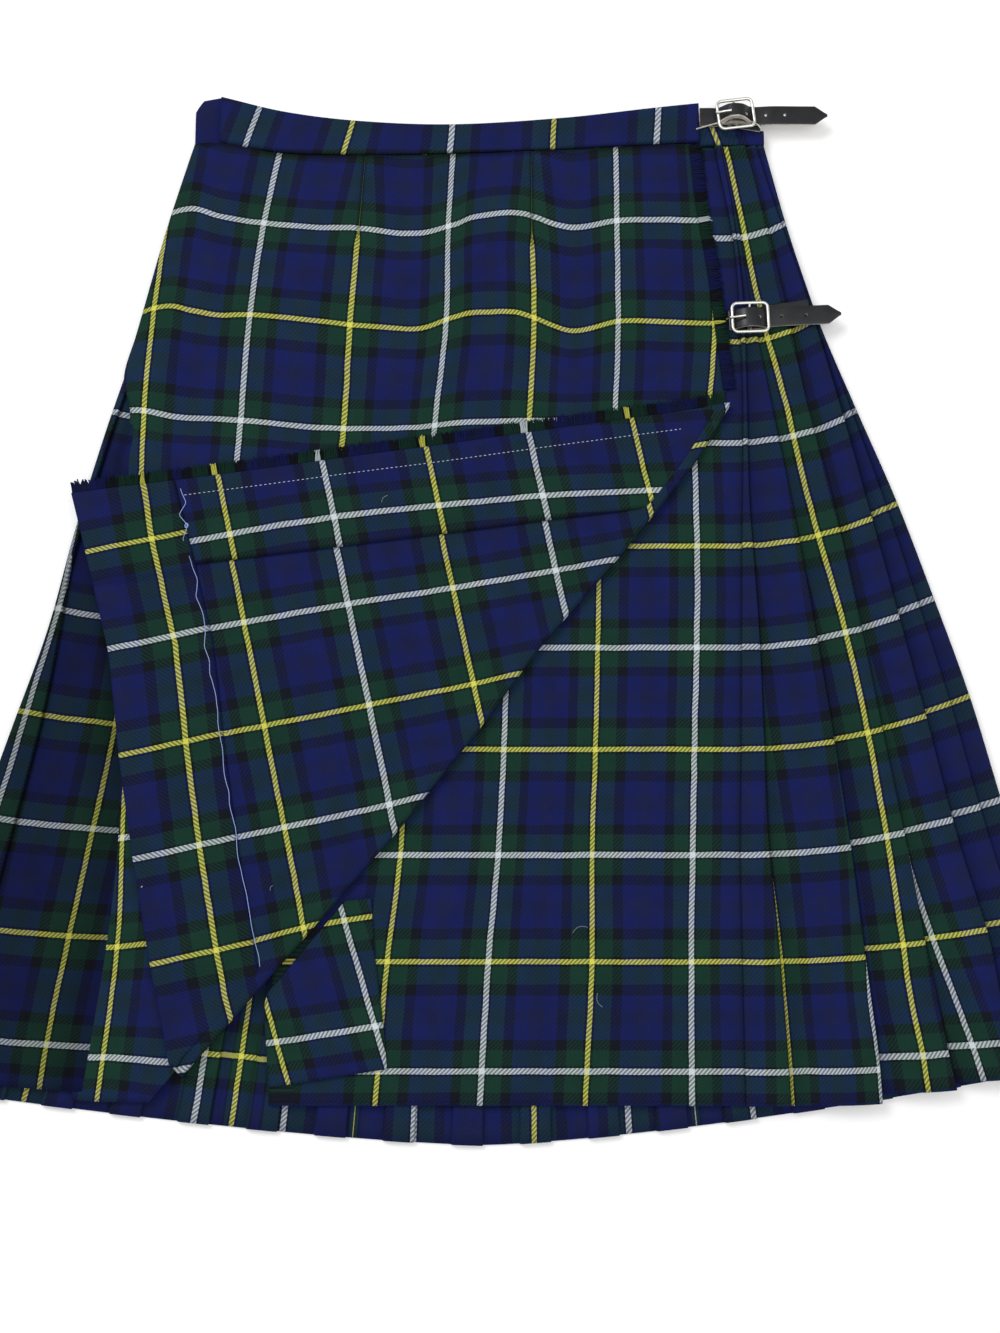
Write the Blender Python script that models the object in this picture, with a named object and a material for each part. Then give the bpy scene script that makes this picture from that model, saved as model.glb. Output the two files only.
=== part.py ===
"""A pleated wool kilt laid flat on its back, with the lower corner of its over apron turned up.

Units are metres. +X is to the right of the laid kilt, +Y runs up to the waist, +Z is up.
The kilt rests on the plane z = 0. Every cloth piece is a wall of real thickness.
"""

import math

import bmesh
import bpy
from mathutils import Vector

# Main sizes
CLOTH = 0.0012          # thickness of the tartan cloth
CLEAR = 0.00035         # gap between neighbouring layers
SEAM = 0.0003           # gap between pieces that are sewn together
LAYER = 0.0016          # rise from one folded layer to the next
WAIST_Y = 0.348         # height of the waistband seam
HEM = 0.619             # cloth length from the waistband seam to the hem
HEM_DIP = 0.024         # how far the back hem sags below the front hem

# Heights of the middle of each layer, from the surface upwards
BACK_LOW = CLOTH / 2
BACK_TOP = BACK_LOW + 2 * LAYER + CLOTH / 2
UNDER_Z = BACK_TOP + CLEAR + CLOTH / 2
PLEAT_TOP_Z = UNDER_Z + 2 * LAYER
OVER_Z = UNDER_Z + CLOTH + CLEAR
CORNER_Z = OVER_Z + CLOTH + CLEAR
FACING = 0.0010         # thickness of the turned-in facing and hem
FACING_STEP = CLOTH / 2 + 2 * CLEAR + FACING / 2

# Outline of the laid kilt, a row for each length below the waist seam.
# left_x and right_x are the silhouette, rise is how far the cloth line climbs there.
OUTLINE = (
    # length, left_x, left_rise, right_x, right_rise
    (0.000, -0.202, 0.000, 0.176, 0.000),
    (0.071, -0.221, 0.002, 0.191, 0.011),
    (0.137, -0.237, 0.005, 0.209, 0.0165),
    (0.203, -0.256, 0.007, 0.232, 0.022),
    (0.269, -0.273, 0.009, 0.2555, 0.028),
    (0.335, -0.288, 0.010, 0.2765, 0.032),
    (0.401, -0.309, 0.010, 0.297, 0.034),
    (0.467, -0.330, 0.010, 0.314, 0.035),
    (0.532, -0.351, 0.010, 0.333, 0.029),
    (0.619, -0.378, 0.013, 0.357, 0.024),
)

# First crease of the right side and fold of the over apron on the left.
CREASES = (
    # length, right_crease_x, apron_fold_x
    (0.000, 0.152, -0.190),
    (0.071, 0.156, -0.208),
    (0.170, 0.158, -0.232),
    (0.280, 0.155, -0.243),
    (0.401, 0.152, -0.244),
    (0.467, 0.150, -0.245),
    (0.532, 0.150, -0.250),
    (0.619, 0.150, -0.261),
)

# Pleat edges on the right side, as shares of the way from its first crease to the silhouette.
RIGHT_PLEATS = (
    # share at the waist, share at the hem
    (0.18, 0.125),
    (0.37, 0.39),
    (0.55, 0.61),
    (0.72, 0.795),
    (0.87, 0.905),
)

# The same on the left side, from the line LEFT_START_X to the silhouette.
LEFT_START_X = -0.200
LEFT_PLEATS = (
    (0.84, 0.76),
)

BACK_PLEATS = 17
PLEAT_DEPTH = 0.016     # hidden depth of a side pleat at the hem
BACK_DEPTH = 0.017      # hidden depth of a back pleat at the hem

# Fringed edge of the over apron, then the line it is folded back along.
APRON_EDGE = (
    # length, edge_x
    (0.000, 0.1265),
    (0.046, 0.131),
    (0.086, 0.137),
    (0.123, 0.141),
    (0.171, 0.1465),
)
FOLD_LINE = (
    # x, y
    (0.149, 0.170),
    (0.126, 0.132),
    (0.080, 0.074),
    (0.025, 0.011),
    (-0.014, -0.042),
    (-0.066, -0.107),
    (-0.126, -0.176),
    (-0.199, -0.259),
)
# The hem edge of the turned-up corner, from its free tip down to the fold.
CORNER_HEM = (
    # x, y
    (-0.274, 0.110),
    (-0.260, 0.058),
    (-0.247, 0.007),
    (-0.238, -0.059),
    (-0.228, -0.121),
    (-0.215, -0.187),
    (-0.200, -0.252),
)
HEM_TURNUP = 0.066      # width of the hem turned to the inside
EDGE_FACING = 0.056     # width of the facing along the fringed edge
ROLL = 0.0045           # how far the soft fold reaches in over the over apron
TIP_START_X = -0.212    # left of here the turned corner climbs over the side pleats
TIP_RUN = 0.034
TIP_LIFT = 0.0021

# Cross-section of the soft fold, measured along the cloth and up from the over apron.
ROLL_PROFILE = (
    # distance from the fold line, height above the middle of the over apron
    (-0.034, CORNER_Z - OVER_Z),
    (-0.016, 0.0026),
    (-0.006, 0.0036),
    (-0.0016, 0.0031),
    (0.0, 0.0019),
    (-0.0010, 0.0005),
    (-ROLL, 0.0),
)

# Soft ridges in the over apron and in the under apron.
RIDGES = (
    # x_top, y_top, x_bottom, y_bottom, height, half_width
    (-0.082, 0.270, -0.066, 0.167, 0.0022, 0.015),
    (-0.038, 0.300, -0.030, 0.167, 0.0034, 0.017),
    (0.022, 0.270, 0.012, 0.168, 0.0026, 0.016),
    (0.088, 0.250, 0.078, 0.180, 0.0018, 0.018),
    (-0.176, 0.300, -0.188, 0.180, 0.0016, 0.018),
)
UNDER_RIDGES = (
    (0.096, 0.030, 0.088, -0.262, 0.0016, 0.014),
    (0.030, -0.060, 0.024, -0.262, 0.0014, 0.016),
    (-0.036, -0.130, -0.030, -0.262, 0.0012, 0.014),
)

# Waistbands
BAND_TOP = (
    # x, y of the front waistband's top edge, y of its seam
    (-0.186, 0.383, 0.350),
    (-0.144, 0.3725, 0.3435),
    (-0.095, 0.366, 0.342),
    (-0.033, 0.3635, 0.343),
    (0.041, 0.368, 0.346),
    (0.105, 0.3755, 0.3495),
    (0.1325, 0.3785, 0.3505),
)
BAND = 0.0024           # thickness of the folded waistband
INNER_BAND = (
    # x, top edge, thickness: thin under the front, full at the right hip
    (-0.148, 0.3615, 0.00105),
    (0.040, 0.3600, 0.00105),
    (0.1332, 0.3660, 0.00105),
    (0.1368, 0.3660, 0.0036),
    (0.1755, 0.3590, 0.0036),
)
BACK_BAND = (
    # x, top edge
    (-0.2035, 0.3750),
    (-0.1990, 0.3828),
    (-0.1860, 0.3853),
    (-0.1000, 0.3613),
    (0.0000, 0.3603),
    (0.1200, 0.3640),
    (0.1755, 0.3590),
)

# Fringe
STRAND = 0.0011
STRAND_PITCH = 0.0042
STRAND_LENGTH = 0.0090
BACKING = 0.0018

# Straps and buckles
STRAP_WIDTH = 0.0125
STRAP = 0.0016
TIP = 0.008
CHAPE = 0.0012
CHAPE_LENGTH = 0.040
BAR = 0.0011            # radius of the buckle's frame
CENTRE_BAR = 0.0009
BUCKLE_WIDTH = 0.0255
BUCKLE_HEIGHT = 0.0215
BUCKLE_CORNER = 0.0035

# Where each strap starts, how it is turned and where its buckle's middle bar is.
STRAPS = (
    # name, x, y, turn in degrees, base height, distance to the middle bar, buckle's turn, length
    ("upper", 0.1235, 0.3676, 1.5, 0.0089, 0.0335, 10.0, 0.0945),
    ("lower", 0.1410, 0.2258, 3.0, 0.0092, 0.0215, 2.0, 0.0810),
)

COLOURS = {
    "tartan": (0.018, 0.028, 0.085, 1.0),
    "tartan_light": (0.022, 0.045, 0.075, 1.0),
    "fringe": (0.010, 0.012, 0.060, 1.0),
    "leather": (0.012, 0.012, 0.014, 1.0),
    "suede": (0.45, 0.43, 0.40, 1.0),
    "nickel": (0.72, 0.71, 0.69, 1.0),
}


def clear_scene():
    for item in list(bpy.data.objects):
        bpy.data.objects.remove(item, do_unlink=True)


def material(name, colour, roughness, metallic=0.0):
    made = bpy.data.materials.new(name)
    made.use_nodes = True
    shader = made.node_tree.nodes["Principled BSDF"]
    shader.inputs["Base Color"].default_value = COLOURS[colour]
    shader.inputs["Roughness"].default_value = roughness
    shader.inputs["Metallic"].default_value = metallic
    return made


def curve(rows, column, at, key=0):
    """Smooth value of a table's column, by cubic steps between its rows."""
    low = 0
    while low < len(rows) - 2 and (at - rows[low + 1][key]) * (rows[-1][key] - rows[0][key]) > 0:
        low += 1
    before = rows[max(low - 1, 0)]
    start = rows[low]
    end = rows[low + 1]
    after = rows[min(low + 2, len(rows) - 1)]
    share = (at - start[key]) / (end[key] - start[key])
    span = end[key] - start[key]
    slope_a = (end[column] - before[column]) / (end[key] - before[key]) * span
    slope_b = (after[column] - start[column]) / (after[key] - start[key]) * span
    square = share * share
    cube = square * share
    return ((2 * cube - 3 * square + 1) * start[column] + (cube - 2 * square + share) * slope_a
            + (3 * square - 2 * cube) * end[column] + (cube - square) * slope_b)


def path_point(points, share):
    """Point at a share of the length of an open run of points."""
    lengths = [math.dist(a[:2], b[:2]) for a, b in zip(points, points[1:])]
    left = share * sum(lengths)
    for a, b, length in zip(points, points[1:], lengths):
        if left <= length or b is points[-1]:
            part = left / length
            return Vector((a[0] + (b[0] - a[0]) * part, a[1] + (b[1] - a[1]) * part, 0.0))
        left -= length


def ridge_lift(ridges, x, y):
    """Height that a set of soft ridges adds at a place."""
    total = 0.0
    for x_top, y_top, x_bottom, y_bottom, height, half_width in ridges:
        share = (y_top - y) / (y_top - y_bottom)
        if share <= 0.0 or share >= 1.0:
            continue
        middle = x_top + (x_bottom - x_top) * share
        fade = math.sin(math.pi * share) ** 0.7
        total += height * fade * math.exp(-((x - middle) / half_width) ** 2)
    return total


def offset_path(path, thickness):
    """The two sides of a folded sheet whose middle is a path of (across, height) pairs."""
    upper = []
    lower = []
    count = len(path)
    half = thickness / 2
    for index, (across, height) in enumerate(path):
        before = path[max(index - 1, 0)]
        after = path[min(index + 1, count - 1)]
        first = Vector((across - before[0], height - before[1]))
        second = Vector((after[0] - across, after[1] - height))
        if index == 0:
            first = second
        if index == count - 1:
            second = first
        first.normalize()
        second.normalize()
        normal_a = Vector((-first.y, first.x))
        normal_b = Vector((-second.y, second.x))
        middle = normal_a + normal_b
        middle.normalize()
        reach = half / max(middle.dot(normal_a), 0.5)
        upper.append((across + middle.x * reach, height + middle.y * reach))
        lower.append((across - middle.x * reach, height - middle.y * reach))
    return upper, lower


def link(name, mesh, look):
    mesh.materials.append(look)
    made = bpy.data.objects.new(name, mesh)
    bpy.context.scene.collection.objects.link(made)
    return made


def wall(name, sections, look):
    """A closed sheet through sections, each a pair of point lists, its upper and lower side."""
    shape = bmesh.new()
    rings = []
    for upper, lower in sections:
        tops = [shape.verts.new(point) for point in upper]
        bottoms = [shape.verts.new(point) for point in lower]
        rings.append((tops, bottoms))
    count = len(rings[0][0])
    for (tops, bottoms), (next_tops, next_bottoms) in zip(rings, rings[1:]):
        for i in range(count - 1):
            shape.faces.new((tops[i], next_tops[i], next_tops[i + 1], tops[i + 1]))
            shape.faces.new((bottoms[i], bottoms[i + 1], next_bottoms[i + 1], next_bottoms[i]))
        shape.faces.new((tops[0], bottoms[0], next_bottoms[0], next_tops[0]))
        shape.faces.new((tops[-1], next_tops[-1], next_bottoms[-1], bottoms[-1]))
    for tops, bottoms in (rings[0], rings[-1]):
        for i in range(count - 1):
            shape.faces.new((tops[i], tops[i + 1], bottoms[i + 1], bottoms[i]))
    bmesh.ops.recalc_face_normals(shape, faces=shape.faces)
    mesh = bpy.data.meshes.new(name)
    shape.to_mesh(mesh)
    shape.free()
    return link(name, mesh, look)


def panel(name, lengths, path_at, place, thickness, look):
    """A wall whose cross-section at each length is path_at(length), set in space by place."""
    sections = []
    for length in lengths:
        upper, lower = offset_path(path_at(length), thickness)
        sections.append(([place(a, z, length) for a, z in upper],
                         [place(a, z, length) for a, z in lower]))
    return wall(name, sections, look)


def steps(start, end, count):
    return [start + (end - start) * i / count for i in range(count + 1)]


def side_height(across, length):
    """Height on the sheet of a cloth line at the right side, across is a share 0 to 1."""
    return WAIST_Y - length + curve(OUTLINE, 4, length) * across * across


def right_place(across, height, length):
    start = curve(CREASES, 1, length)
    end = curve(OUTLINE, 3, length)
    share = (across - start) / (end - start)
    rise = side_height(max(share, 0.0), length)
    return (across, rise, height)


def left_place(across, height, length):
    end = curve(OUTLINE, 1, length)
    share = max((across - LEFT_START_X) / (end - LEFT_START_X), 0.0)
    rise = curve(OUTLINE, 2, length) * share * share
    return (across, WAIST_Y - length + rise, height)


def back_place(across, height, length):
    left = curve(OUTLINE, 1, length)
    right = curve(OUTLINE, 3, length)
    middle = (left + right) / 2
    share = min(abs(across - middle) / ((right - left) / 2), 1.0) ** 1.4
    side = 4 if across > middle else 2
    rise = curve(OUTLINE, side, length) * share
    dip = HEM_DIP * length / HEM * (1.0 - share)
    return (across, WAIST_Y - length + rise - dip, height)


def under_place(across, height, length):
    y = WAIST_Y - length
    return (across, y, height + ridge_lift(UNDER_RIDGES, across, y))


def over_place(across, height, length):
    """The over apron's top edge follows the waistband seam, and its left side climbs a little."""
    seam = curve(BAND_TOP, 2, max(across, BAND_TOP[0][0])) - SEAM
    fade = max(0.0, 1.0 - length / 0.12)
    y = WAIST_Y - length + (seam - WAIST_Y) * fade
    if across < LEFT_START_X:
        end = curve(OUTLINE, 1, length)
        share = (across - LEFT_START_X) / (end - LEFT_START_X)
        y += curve(OUTLINE, 2, length) * share * share
    return (across, y, height + over_lift(across, y))


def over_lift(x, y):
    return ridge_lift(RIDGES, x, y) + ridge_lift(UNDER_RIDGES, x, y)


def pleat(edge, depth, low, high, facing):
    """Folded layers at a pleat's edge, as (across, height) pairs. facing is +1 or -1 in X."""
    middle = (low + high) / 2
    reach = CLOTH / 2 + CLEAR + CLOTH / 2
    return [
        (edge, high),
        (edge, middle),
        (edge - facing * depth, middle),
        (edge - facing * depth, low),
        (edge + facing * reach, low),
    ]


def pleat_run(start, edges, depths, low, high, facing):
    """Pleats one after another: each strip climbs from under the last edge to its own edge."""
    path = list(start)
    for edge, depth in zip(edges, depths):
        path.append((edge - facing * (depth + CLOTH), high))
        path += pleat(edge, depth, low, high, facing)
    return path


def depth_for(width, longest):
    return max(0.0005, min(0.42 * width - 0.0014, longest))


def make_back(look):
    """The pleated back: knife pleats whose edges face left, flat on the surface."""
    def path_at(length):
        left = curve(OUTLINE, 1, length)
        right = curve(OUTLINE, 3, length)
        inset = 0.012
        width = (right - left - 2 * inset) / BACK_PLEATS
        edges = [right - inset - width * (i + 0.9) for i in range(BACK_PLEATS)]
        depths = [depth_for(width, BACK_DEPTH)] * BACK_PLEATS
        start = [(right - CLOTH / 2, 0.0042), (right - 0.0012, 0.0020), (right - 0.004, BACK_LOW)]
        path = list(start)
        for edge, depth in zip(edges, depths):
            path.append((edge, BACK_LOW))
            path.append((edge, BACK_LOW + LAYER))
            path.append((edge + depth, BACK_LOW + LAYER))
            path.append((edge + depth, BACK_LOW + 2 * LAYER))
            path.append((edge - CLOTH - CLEAR, BACK_LOW + 2 * LAYER))
            path.append((edge - CLOTH - CLEAR - 0.0012, BACK_LOW))
        path += [(left + 0.004, BACK_LOW), (left + 0.0012, 0.0020), (left + CLOTH / 2, 0.0042)]
        return path
    lengths = [0.0, 0.10, 0.20, 0.335, 0.467, HEM]
    return panel("pleated_back", lengths, path_at, back_place, CLOTH, look)


def make_right_side(look):
    """The right side's pleats, from the crease over the under apron to the silhouette."""
    low = UNDER_Z
    high = PLEAT_TOP_Z
    def path_at(length):
        first = curve(CREASES, 1, length)
        last = curve(OUTLINE, 3, length)
        part = length / HEM
        shares = [a + (b - a) * min(part * 1.6, 1.0) for a, b in RIGHT_PLEATS]
        edges = [first + (last - first) * share for share in shares]
        widths = [b - a for a, b in zip([first] + edges, edges)]
        depths = [depth_for(width, PLEAT_DEPTH) for width in widths]
        hidden = max(0.0008, 0.35 * widths[0] - 0.0006)
        start = [(first + hidden, high - LAYER), (first, high - LAYER), (first, high)]
        path = start + pleat(edges[0], depths[0], low, high, 1)
        path += pleat_run([], edges[1:], depths[1:], low, high, 1)
        end = [(last - 0.0022, high - 0.0006), (last - 0.0008, high - 0.0018),
               (last - CLOTH / 2, low - 0.0004)]
        return path + end
    lengths = [0.0, 0.071, 0.137, 0.203, 0.269, 0.335, 0.401, 0.467, 0.532, HEM]
    return panel("right_side_pleats", lengths, path_at, right_place, CLOTH, look)


def make_left_side(look):
    """The left side's pleats, which slip under the fold of the over apron."""
    low = UNDER_Z
    high = PLEAT_TOP_Z
    def path_at(length):
        last = curve(OUTLINE, 1, length)
        inner = curve(CREASES, 2, length)
        part = length / HEM
        edges = [LEFT_START_X + (last - LEFT_START_X) * (a + (b - a) * part) for a, b in LEFT_PLEATS]
        if length < 0.2:
            edges[0] = min(edges[0], inner - 0.0042)
        start = [(last + CLOTH / 2, low - 0.0004), (last + 0.0008, high - 0.0018)]
        strip = edges[0] - last
        depth = depth_for(strip, PLEAT_DEPTH)
        path = start + [(edges[0] - depth - CLOTH, high)]
        path += pleat(edges[0], depth, low, high, 1)
        path += [(inner + 0.016, low)]
        return path
    lengths = [0.0, 0.071, 0.137, 0.203, 0.269, 0.335, 0.401, 0.467, 0.532, HEM]
    return panel("left_side_pleats", lengths, path_at, left_place, CLOTH, look)


def make_under_apron(look):
    def path_at(length):
        last = curve(CREASES, 1, length) + 0.0016
        return [(a, UNDER_Z) for a in steps(-0.150, last, 18)]
    lengths = steps(0.0, HEM, 8)
    return panel("under_apron", lengths, path_at, under_place, CLOTH, look)


def fold_x(y):
    return curve(FOLD_LINE, 0, y, key=1)


def make_over_apron(look):
    """The part of the over apron that still lies flat, up to the line it is folded along."""
    fold_start = WAIST_Y - FOLD_LINE[0][1]
    def path_at(length):
        first = curve(CREASES, 2, length)
        if length <= fold_start + 1e-6:
            last = curve(APRON_EDGE, 1, min(length, 0.171)) if length < 0.171 else 0.1440
        else:
            last = fold_x(WAIST_Y - length) - ROLL - 0.0018
        return [(a, OVER_Z) for a in steps(first, last, 24)]
    lengths = [0.0, 0.03, 0.06, 0.09, 0.12, 0.15, fold_start, 0.216, 0.274, 0.335, 0.39, 0.455, 0.524,
               0.585, 0.604]
    return panel("over_apron", lengths, path_at, over_place, CLOTH, look)


def corner_row(part):
    """Ends of one cloth line of the turned-up corner, at its hem edge and at the fold."""
    return path_point(CORNER_HEM, part), path_point(FOLD_LINE, part)


def corner_path(part, start, stop):
    """Cross-section of the turned-up corner along one cloth line."""
    hem, fold = corner_row(part)
    reach = (fold - hem).length
    level = ROLL_PROFILE[0][1] + OVER_Z
    scale = min(1.0, reach * 0.8 / -ROLL_PROFILE[0][0])
    flat = reach + ROLL_PROFILE[0][0] * scale
    path = [(a, level) for a in steps(0.0, flat, 12)]
    path += [(reach + a * scale if a < -0.01 else reach + a, z + OVER_Z) for a, z in ROLL_PROFILE[1:]]
    return [point for point in path if start <= point[0] and point[0] <= stop(reach)]


def corner_place(across, height, part):
    """A point of the turned-up corner, which climbs over the left side's pleats at its free tip."""
    hem, fold = corner_row(part)
    way = (fold - hem).normalized()
    point = hem + way * across
    climb = min(max((TIP_START_X - point.x) / TIP_RUN, 0.0), 1.0)
    lift = over_lift(point.x, point.y) + TIP_LIFT * climb * climb * (3 - 2 * climb)
    return (point.x, point.y, height + lift)


def make_corner(look):
    sections = []
    for part in (0.0, 0.03, 0.07, 0.15, 0.25, 0.36, 0.48, 0.60, 0.72, 0.83, 0.92, 0.965):
        hem, fold = corner_row(part)
        reach = (fold - hem).length
        path = corner_path(part, 0.0, lambda reach: reach + 1.0)
        upper, lower = offset_path(path, CLOTH)
        sections.append(([corner_place(a, z, part) for a, z in upper],
                         [corner_place(a, z, part) for a, z in lower]))
    return wall("turned_corner", sections, look)


def strip_on_corner(name, parts, first, last, look):
    """A strip made from the corner's own points, moved up to lie on it."""
    sections = []
    for part in parts:
        hem, fold = corner_row(part)
        reach = (fold - hem).length
        start = first(reach)
        stop = last(reach)
        base = corner_path(part, 0.0, lambda reach: reach - 0.004)
        upper, lower = offset_path(base, 2 * FACING_STEP)
        path = [(a, level_on(upper, a)) for a in steps(start, stop, 6 if stop - start < 0.1 else 16)]
        upper, lower = offset_path(path, FACING)
        sections.append(([corner_place(a, z, part) for a, z in upper],
                         [corner_place(a, z, part) for a, z in lower]))
    return wall(name, sections, look)


def level_on(path, across):
    """Height of a path of (across, height) pairs at a place, by straight steps."""
    for (a, low), (b, high) in zip(path, path[1:]):
        if a <= across <= b:
            return low + (high - low) * (across - a) / (b - a)
    return path[0][1] if across < path[0][0] else path[-1][1]


def make_hem_turnup(look):
    parts = (0.002, 0.07, 0.15, 0.25, 0.36, 0.48, 0.60, 0.72, 0.83, 0.90)
    return strip_on_corner("hem_turnup", parts, lambda reach: 0.0004,
                           lambda reach: min(HEM_TURNUP, reach - 0.008), look)


def make_facing(look):
    hem_length = path_length(CORNER_HEM)
    share = EDGE_FACING / hem_length
    parts = (0.002, 0.03, 0.07, 0.11, share)
    return strip_on_corner("edge_facing", parts, lambda reach: HEM_TURNUP + SEAM,
                           lambda reach: reach - 0.008, look)


def path_length(points):
    return sum(math.dist(a[:2], b[:2]) for a, b in zip(points, points[1:]))


def make_inner_fold(look):
    """The inner edge of the over apron's deep pleat, which shows below the turned corner."""
    rows = (
        # left x, left y, right x, right y
        (-0.0955, -0.1475, -0.0800, -0.1300 - 0.0160),
        (-0.1330, -0.1920, -0.0770, -0.1800),
        (-0.1440, -0.2080, -0.0750, -0.1960),
        (-0.1430, -0.2340, -0.0715, -0.2230),
        (-0.1410, -0.2600, -0.0690, -0.2490),
    )
    level = UNDER_Z + CLOTH + CLEAR
    sections = []
    for left_x, left_y, right_x, right_y in rows:
        points = [(left_x + (right_x - left_x) * s, left_y + (right_y - left_y) * s) for s in steps(0, 1, 5)]
        lifts = [level + ridge_lift(UNDER_RIDGES, x, y) for x, y in points]
        sections.append(([(x, y, z + CLOTH / 2) for (x, y), z in zip(points, lifts)],
                         [(x, y, z - CLOTH / 2) for (x, y), z in zip(points, lifts)]))
    return wall("inner_fold", sections, look)


def make_band(name, columns, low, look):
    """A waistband through columns of x, top edge, seam and thickness. Its edges are soft folds."""
    profile = ((0.0, 0.5), (0.06, 1.0), (0.5, 1.12), (0.88, 1.0), (1.0, 0.6))
    sections = []
    for x, top, seam, thickness in columns:
        upper = []
        lower = []
        for share, fullness in profile:
            y = seam + (top - seam) * share
            upper.append((x, y, low + thickness * fullness))
            lower.append((x, y, low if 0.0 < share < 1.0 else low + thickness * 0.15))
        sections.append((upper, lower))
    return wall(name, sections, look)


def make_bands(look):
    front = [(x, top, seam, BAND) for x, top, seam in BAND_TOP]
    make_band("front_waistband", front, OVER_Z - CLOTH / 2, look)
    seam = WAIST_Y + SEAM
    inner = [(x, top, seam, thickness) for x, top, thickness in INNER_BAND]
    make_band("inner_waistband", inner, BACK_TOP + CLEAR, look)
    back = [(x, top, seam, BACK_TOP / 1.12) for x, top in BACK_BAND]
    make_band("back_waistband", back, 0.0, look)


def fringe(name, edge, way, count, look):
    """Strands of warp left loose, rooted in one narrow strip beside the cloth's edge.

    edge(share) is a point of the cloth's edge and way(share) points out of it.
    """
    sections = []
    roots = 2 * count
    for i in range(roots + 1):
        share = i / roots
        point = edge(share) + way(share) * (SEAM + 0.0002)
        outer = point + way(share) * BACKING
        rise = Vector((0.0, 0.0, STRAND / 2))
        sections.append(([point + rise, outer + rise], [point - rise, outer - rise]))
    made = wall(name, sections, look)
    shape = bmesh.new()
    shape.from_mesh(made.data)
    shape.faces.ensure_lookup_table()
    for i in range(roots):
        if i % 2:
            continue
        share = (i + 0.5) / roots
        middle = edge(share) + way(share) * (SEAM + 0.0002 + BACKING)
        face = min(shape.faces, key=lambda f: (f.calc_center_median() - middle).length)
        grown = bmesh.ops.extrude_discrete_faces(shape, faces=[face])["faces"][0]
        sway = math.sin(i * 2.3) * 0.0006
        length = STRAND_LENGTH * (0.86 + 0.14 * math.sin(i * 1.7))
        along = way(share).cross(Vector((0.0, 0.0, 1.0)))
        centre = grown.calc_center_median()
        for vert in grown.verts:
            vert.co = centre + (vert.co - centre) * 0.55 + way(share) * length + along * sway
    bmesh.ops.recalc_face_normals(shape, faces=shape.faces)
    shape.to_mesh(made.data)
    shape.free()
    return made


def make_fringes(look):
    def apron_point(share):
        length = 0.002 + (0.166 - 0.002) * share
        x, y, z = over_place(curve(APRON_EDGE, 1, length), OVER_Z, length)
        return Vector((x, y, z))

    def apron_way(share):
        step = apron_point(min(share + 0.01, 1.0)) - apron_point(max(share - 0.01, 0.0))
        return Vector((-step.y, step.x, 0.0)).normalized()

    def corner_point(share):
        hem, fold = corner_row(0.0)
        reach = (fold - hem).length
        x, y, z = corner_place(0.002 + (reach - 0.012) * share, CORNER_Z + 0.0, 0.0)
        return Vector((x, y, z))

    def corner_way(share):
        hem, fold = corner_row(0.0)
        way = (fold - hem).normalized()
        return Vector((-way.y, way.x, 0.0))

    fringe("apron_fringe", apron_point, apron_way, int(0.165 / STRAND_PITCH), look)
    hem, fold = corner_row(0.0)
    fringe("corner_fringe", corner_point, corner_way, int((fold - hem).length / STRAND_PITCH), look)


def strap_frame(x, y, turn):
    way = Vector((math.cos(math.radians(turn)), math.sin(math.radians(turn)), 0.0))
    side = Vector((-way.y, way.x, 0.0))
    return Vector((x, y, 0.0)), way, side


def ribbon(name, origin, way, side, path, widths, thickness, look):
    """A leather strip along a path of (distance, height) pairs with a half width at each."""
    upper, lower = offset_path(path, thickness)
    sections = []
    for (a, top), (b, bottom), half in zip(upper, lower, widths):
        high = [origin + way * a + side * (half * s) + Vector((0, 0, top)) for s in (-1, -0.4, 0.4, 1)]
        base = [origin + way * b + side * (half * s) + Vector((0, 0, bottom)) for s in (-1, -0.4, 0.4, 1)]
        sections.append((high, base))
    return wall(name, sections, look)


def make_strap(name, x, y, turn, base, bar_at, end, leather):
    """The strap goes under the frame's near bar, over its middle bar and under its far bar."""
    origin, way, side = strap_frame(x, y, turn)
    bar_z = base + 0.0038
    half = STRAP_WIDTH / 2
    low = base + CLEAR + STRAP / 2
    over_bar = bar_z + CENTRE_BAR + CLEAR + STRAP / 2
    under = base + CHAPE + 2 * CLEAR + STRAP / 2
    spread = BUCKLE_WIDTH / 2
    path = (
        (0.0, low),
        (bar_at - spread - 0.002, low),
        (bar_at - spread + 0.002, low + 0.0002),
        (bar_at - 0.0035, over_bar - 0.0006),
        (bar_at, over_bar),
        (bar_at + 0.0035, over_bar - 0.0006),
        (bar_at + spread - 0.0022, under),
        (bar_at + spread + 0.012, under),
        (end - TIP - 0.010, under + 0.0004),
        (end - TIP, under + 0.0004),
        (end - TIP * 0.35, under + 0.0004),
        (end, under + 0.0004),
    )
    widths = [half] * 10 + [half * 0.62, half * 0.16]
    return ribbon(name + "_strap", origin, way, side, path, widths, STRAP, leather)


def make_chape(name, x, y, turn, base, bar_at, buckle_turn, suede):
    """The short leather under the strap that holds the buckle by its middle bar."""
    start, strap_way, strap_side = strap_frame(x, y, turn)
    bar = start + strap_way * bar_at
    origin, way, side = strap_frame(bar.x, bar.y, buckle_turn)
    bar_z = base + 0.0038
    half = STRAP_WIDTH / 2 + 0.0004
    low = base + CLEAR + CHAPE / 2
    around = CENTRE_BAR + CLEAR + CHAPE / 2
    path = (
        (-around, bar_z),
        (-around * 0.75, bar_z - around * 0.75),
        (0.0, bar_z - around),
        (0.006, low),
        (0.026, low),
        (CHAPE_LENGTH, low),
    )
    return ribbon(name + "_chape", origin, way, side, path, [half] * 6, CHAPE, suede)


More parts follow.
